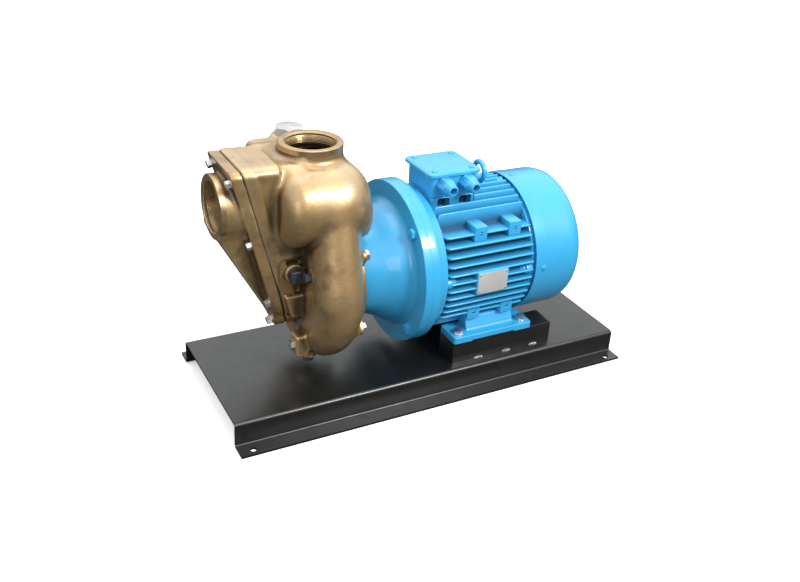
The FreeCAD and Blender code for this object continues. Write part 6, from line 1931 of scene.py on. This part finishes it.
@dataclass
class Internals:
    """The pieces inside pump and motor, which keep the frame's own meshes."""

    looks: dict[str, Look] = field(default_factory=lambda: {
        "bearing_balls": Look.STEEL, "bearing_inner_rings": Look.STEEL, "bearing_outer_rings": Look.STEEL,
        "bearing_wave_spring": Look.STEEL, "cooling_fan": Look.FAN, "flap_hinge_pin": Look.STEEL,
        "flap_valve": Look.GASKET, "impeller": Look.BRONZE, "impeller_nut": Look.MACHINED,
        "lantern_screws": Look.ZINC, "motor_shaft": Look.STEEL, "pump_shaft": Look.STEEL,
        "rotor_core": Look.LAMINATION, "seal_rotary": Look.GRAPHITE, "seal_seat": Look.CERAMIC,
        "shaft_key": Look.STEEL, "shaft_oil_seal": Look.GASKET, "slinger": Look.GASKET,
        "stator_core": Look.LAMINATION, "stator_windings": Look.COPPER, "wear_plate": Look.BRONZE,
    })

    def build(self) -> None:
        """Gives every node that no piece stands for its finish, and joins the doubled points of its mesh."""
        for name, node in frame["nodes"].items():
            if name in self.looks:
                paint(node, self.looks[name])
                weld = node.modifiers.new("weld", "WELD")
                weld.merge_threshold = 0.00002


# The stage


@dataclass
class Studio:
    """Floor, lamps, surroundings and camera."""

    eye: tuple[float, float, float] = (-0.7918, -1.3958, 1.0110)
    target: tuple[float, float, float] = (0.0875, 0.067, 0.167)
    roll: float = 4.4058
    lens: float = 43.28
    shift: tuple[float, float] = (-0.04208, -0.0403)

    def lamp(self, name: str, place: Sequence[float], aim: Sequence[float], size: float, power: float,
             colour: Colour = (1.0, 1.0, 1.0)) -> None:
        """Adds a square soft lamp.

        Args:
            name: Its name.
            place: Where it stands.
            aim: Where it points.
            size: Side of its square.
            power: Its watts.
            colour: Its colour.
        """
        data = bpy.data.lights.new(name, "AREA")
        data.size = size
        data.energy = power
        data.color = colour
        obj = bpy.data.objects.new(name, data)
        obj.location = place
        obj.rotation_euler = (Vector(aim) - Vector(place)).to_track_quat("-Z", "Y").to_euler()
        bpy.context.scene.collection.objects.link(obj)

    def floor(self) -> None:
        """Adds the plain floor, which looks white but takes soft shadows."""
        side, level = 40.0, -0.0005
        data = bpy.data.meshes.new("floor")
        corners = [(-side, -side, level), (side, -side, level), (side, side, level), (-side, side, level)]
        data.from_pydata(corners, [], [(0, 1, 2, 3)])
        obj = bpy.data.objects.new("floor", data)
        bpy.context.scene.collection.objects.link(obj)
        graph = Graph("floor_white")
        graph.shade(Base_Color=(0.93, 0.93, 0.93, 1.0), Roughness=0.9, Specular_IOR_Level=0.0)
        graph.shade(Emission_Color=(1.0, 1.0, 1.0, 1.0), Emission_Strength=0.34)
        dim = graph.tree.nodes.new("ShaderNodeBsdfDiffuse")
        dim.inputs["Color"].default_value = (0.07, 0.068, 0.065, 1.0)
        path = graph.tree.nodes.new("ShaderNodeLightPath")
        mix = graph.tree.nodes.new("ShaderNodeMixShader")
        graph.put(mix.inputs[0], path.outputs["Is Camera Ray"])
        graph.put(mix.inputs[1], dim.outputs[0])
        graph.put(mix.inputs[2], graph.shader.outputs[0])
        output = next(node for node in graph.tree.nodes if node.type == "OUTPUT_MATERIAL")
        graph.put(output.inputs["Surface"], mix.outputs[0])
        data.materials.append(graph.material)

    def world(self) -> None:
        """Sets pale surroundings that look white straight behind the object."""
        scene = bpy.context.scene
        world = bpy.data.worlds.new("studio") if scene.world is None else scene.world
        scene.world = world
        world.use_nodes = True
        tree = world.node_tree
        tree.nodes.clear()
        output = tree.nodes.new("ShaderNodeOutputWorld")
        dim = tree.nodes.new("ShaderNodeBackground")
        direction = tree.nodes.new("ShaderNodeTexCoord").outputs["Generated"]
        parts = tree.nodes.new("ShaderNodeSeparateXYZ")
        tree.links.new(direction, parts.inputs[0])
        rise = tree.nodes.new("ShaderNodeMapRange")
        rise.interpolation_type = "SMOOTHSTEP"
        for key, value in zip(("From Min", "From Max", "To Min", "To Max"), (-0.02, 0.52, 0.10, 1.42)):
            rise.inputs[key].default_value = value
        tree.links.new(parts.outputs["Z"], rise.inputs["Value"])
        tree.links.new(rise.outputs["Result"], dim.inputs["Strength"])
        dim.inputs["Color"].default_value = (0.97, 0.985, 1.0, 1.0)
        white = tree.nodes.new("ShaderNodeBackground")
        white.inputs["Color"].default_value = (1.0, 1.0, 1.0, 1.0)
        path = tree.nodes.new("ShaderNodeLightPath")
        mix = tree.nodes.new("ShaderNodeMixShader")
        tree.links.new(path.outputs["Is Camera Ray"], mix.inputs[0])
        tree.links.new(dim.outputs[0], mix.inputs[1])
        tree.links.new(white.outputs[0], mix.inputs[2])
        tree.links.new(mix.outputs[0], output.inputs["Surface"])

    def camera(self) -> None:
        """Adds the camera at the photo's place, turned by its roll about the line of sight."""
        data = bpy.data.cameras.new("camera")
        data.sensor_width = 36.0
        data.lens = self.lens
        data.shift_x, data.shift_y = self.shift
        data.clip_end = 90.0
        obj = bpy.data.objects.new("camera", data)
        obj.location = self.eye
        aim = (Vector(self.target) - Vector(self.eye)).to_track_quat("-Z", "Y").to_matrix().to_4x4()
        aim = aim @ Matrix.Rotation(math.radians(self.roll), 4, "Z")
        aim.translation = Vector(self.eye)
        obj.matrix_world = aim
        bpy.context.scene.collection.objects.link(obj)
        bpy.context.scene.camera = obj

    def build(self) -> None:
        """Sets up the whole stage."""
        self.floor()
        self.world()
        self.lamp("key", (0.9, -1.9, 1.9), (0.0, 0.0, 0.22), 0.62, 55.0, (1.0, 0.985, 0.96))
        self.lamp("top", (0.1, 0.3, 2.2), (0.0, 0.0, 0.2), 1.2, 8.0)
        self.lamp("left_fill", (-1.6, -1.9, 0.9), (0.0, 0.0, 0.25), 1.0, 9.0, (0.97, 0.985, 1.0))
        self.camera()
        bpy.context.scene.view_settings.view_transform = "Standard"


def main() -> None:
    logging.basicConfig(level=logging.INFO, format="%(message)s")
    joint, places = Joint(), PlugPlaces()
    assemblies = [PumpCasing(joint, places), SuctionCover(joint), PumpPlugs(places), Bracket(), MotorFrame(),
                  FanCover(), TerminalBox(), Base(), Internals(), Studio()]
    for assembly in assemblies:
        assembly.build()
        LOG.info("built %s", type(assembly).__name__)


if __name__ == "__main__":
    main()
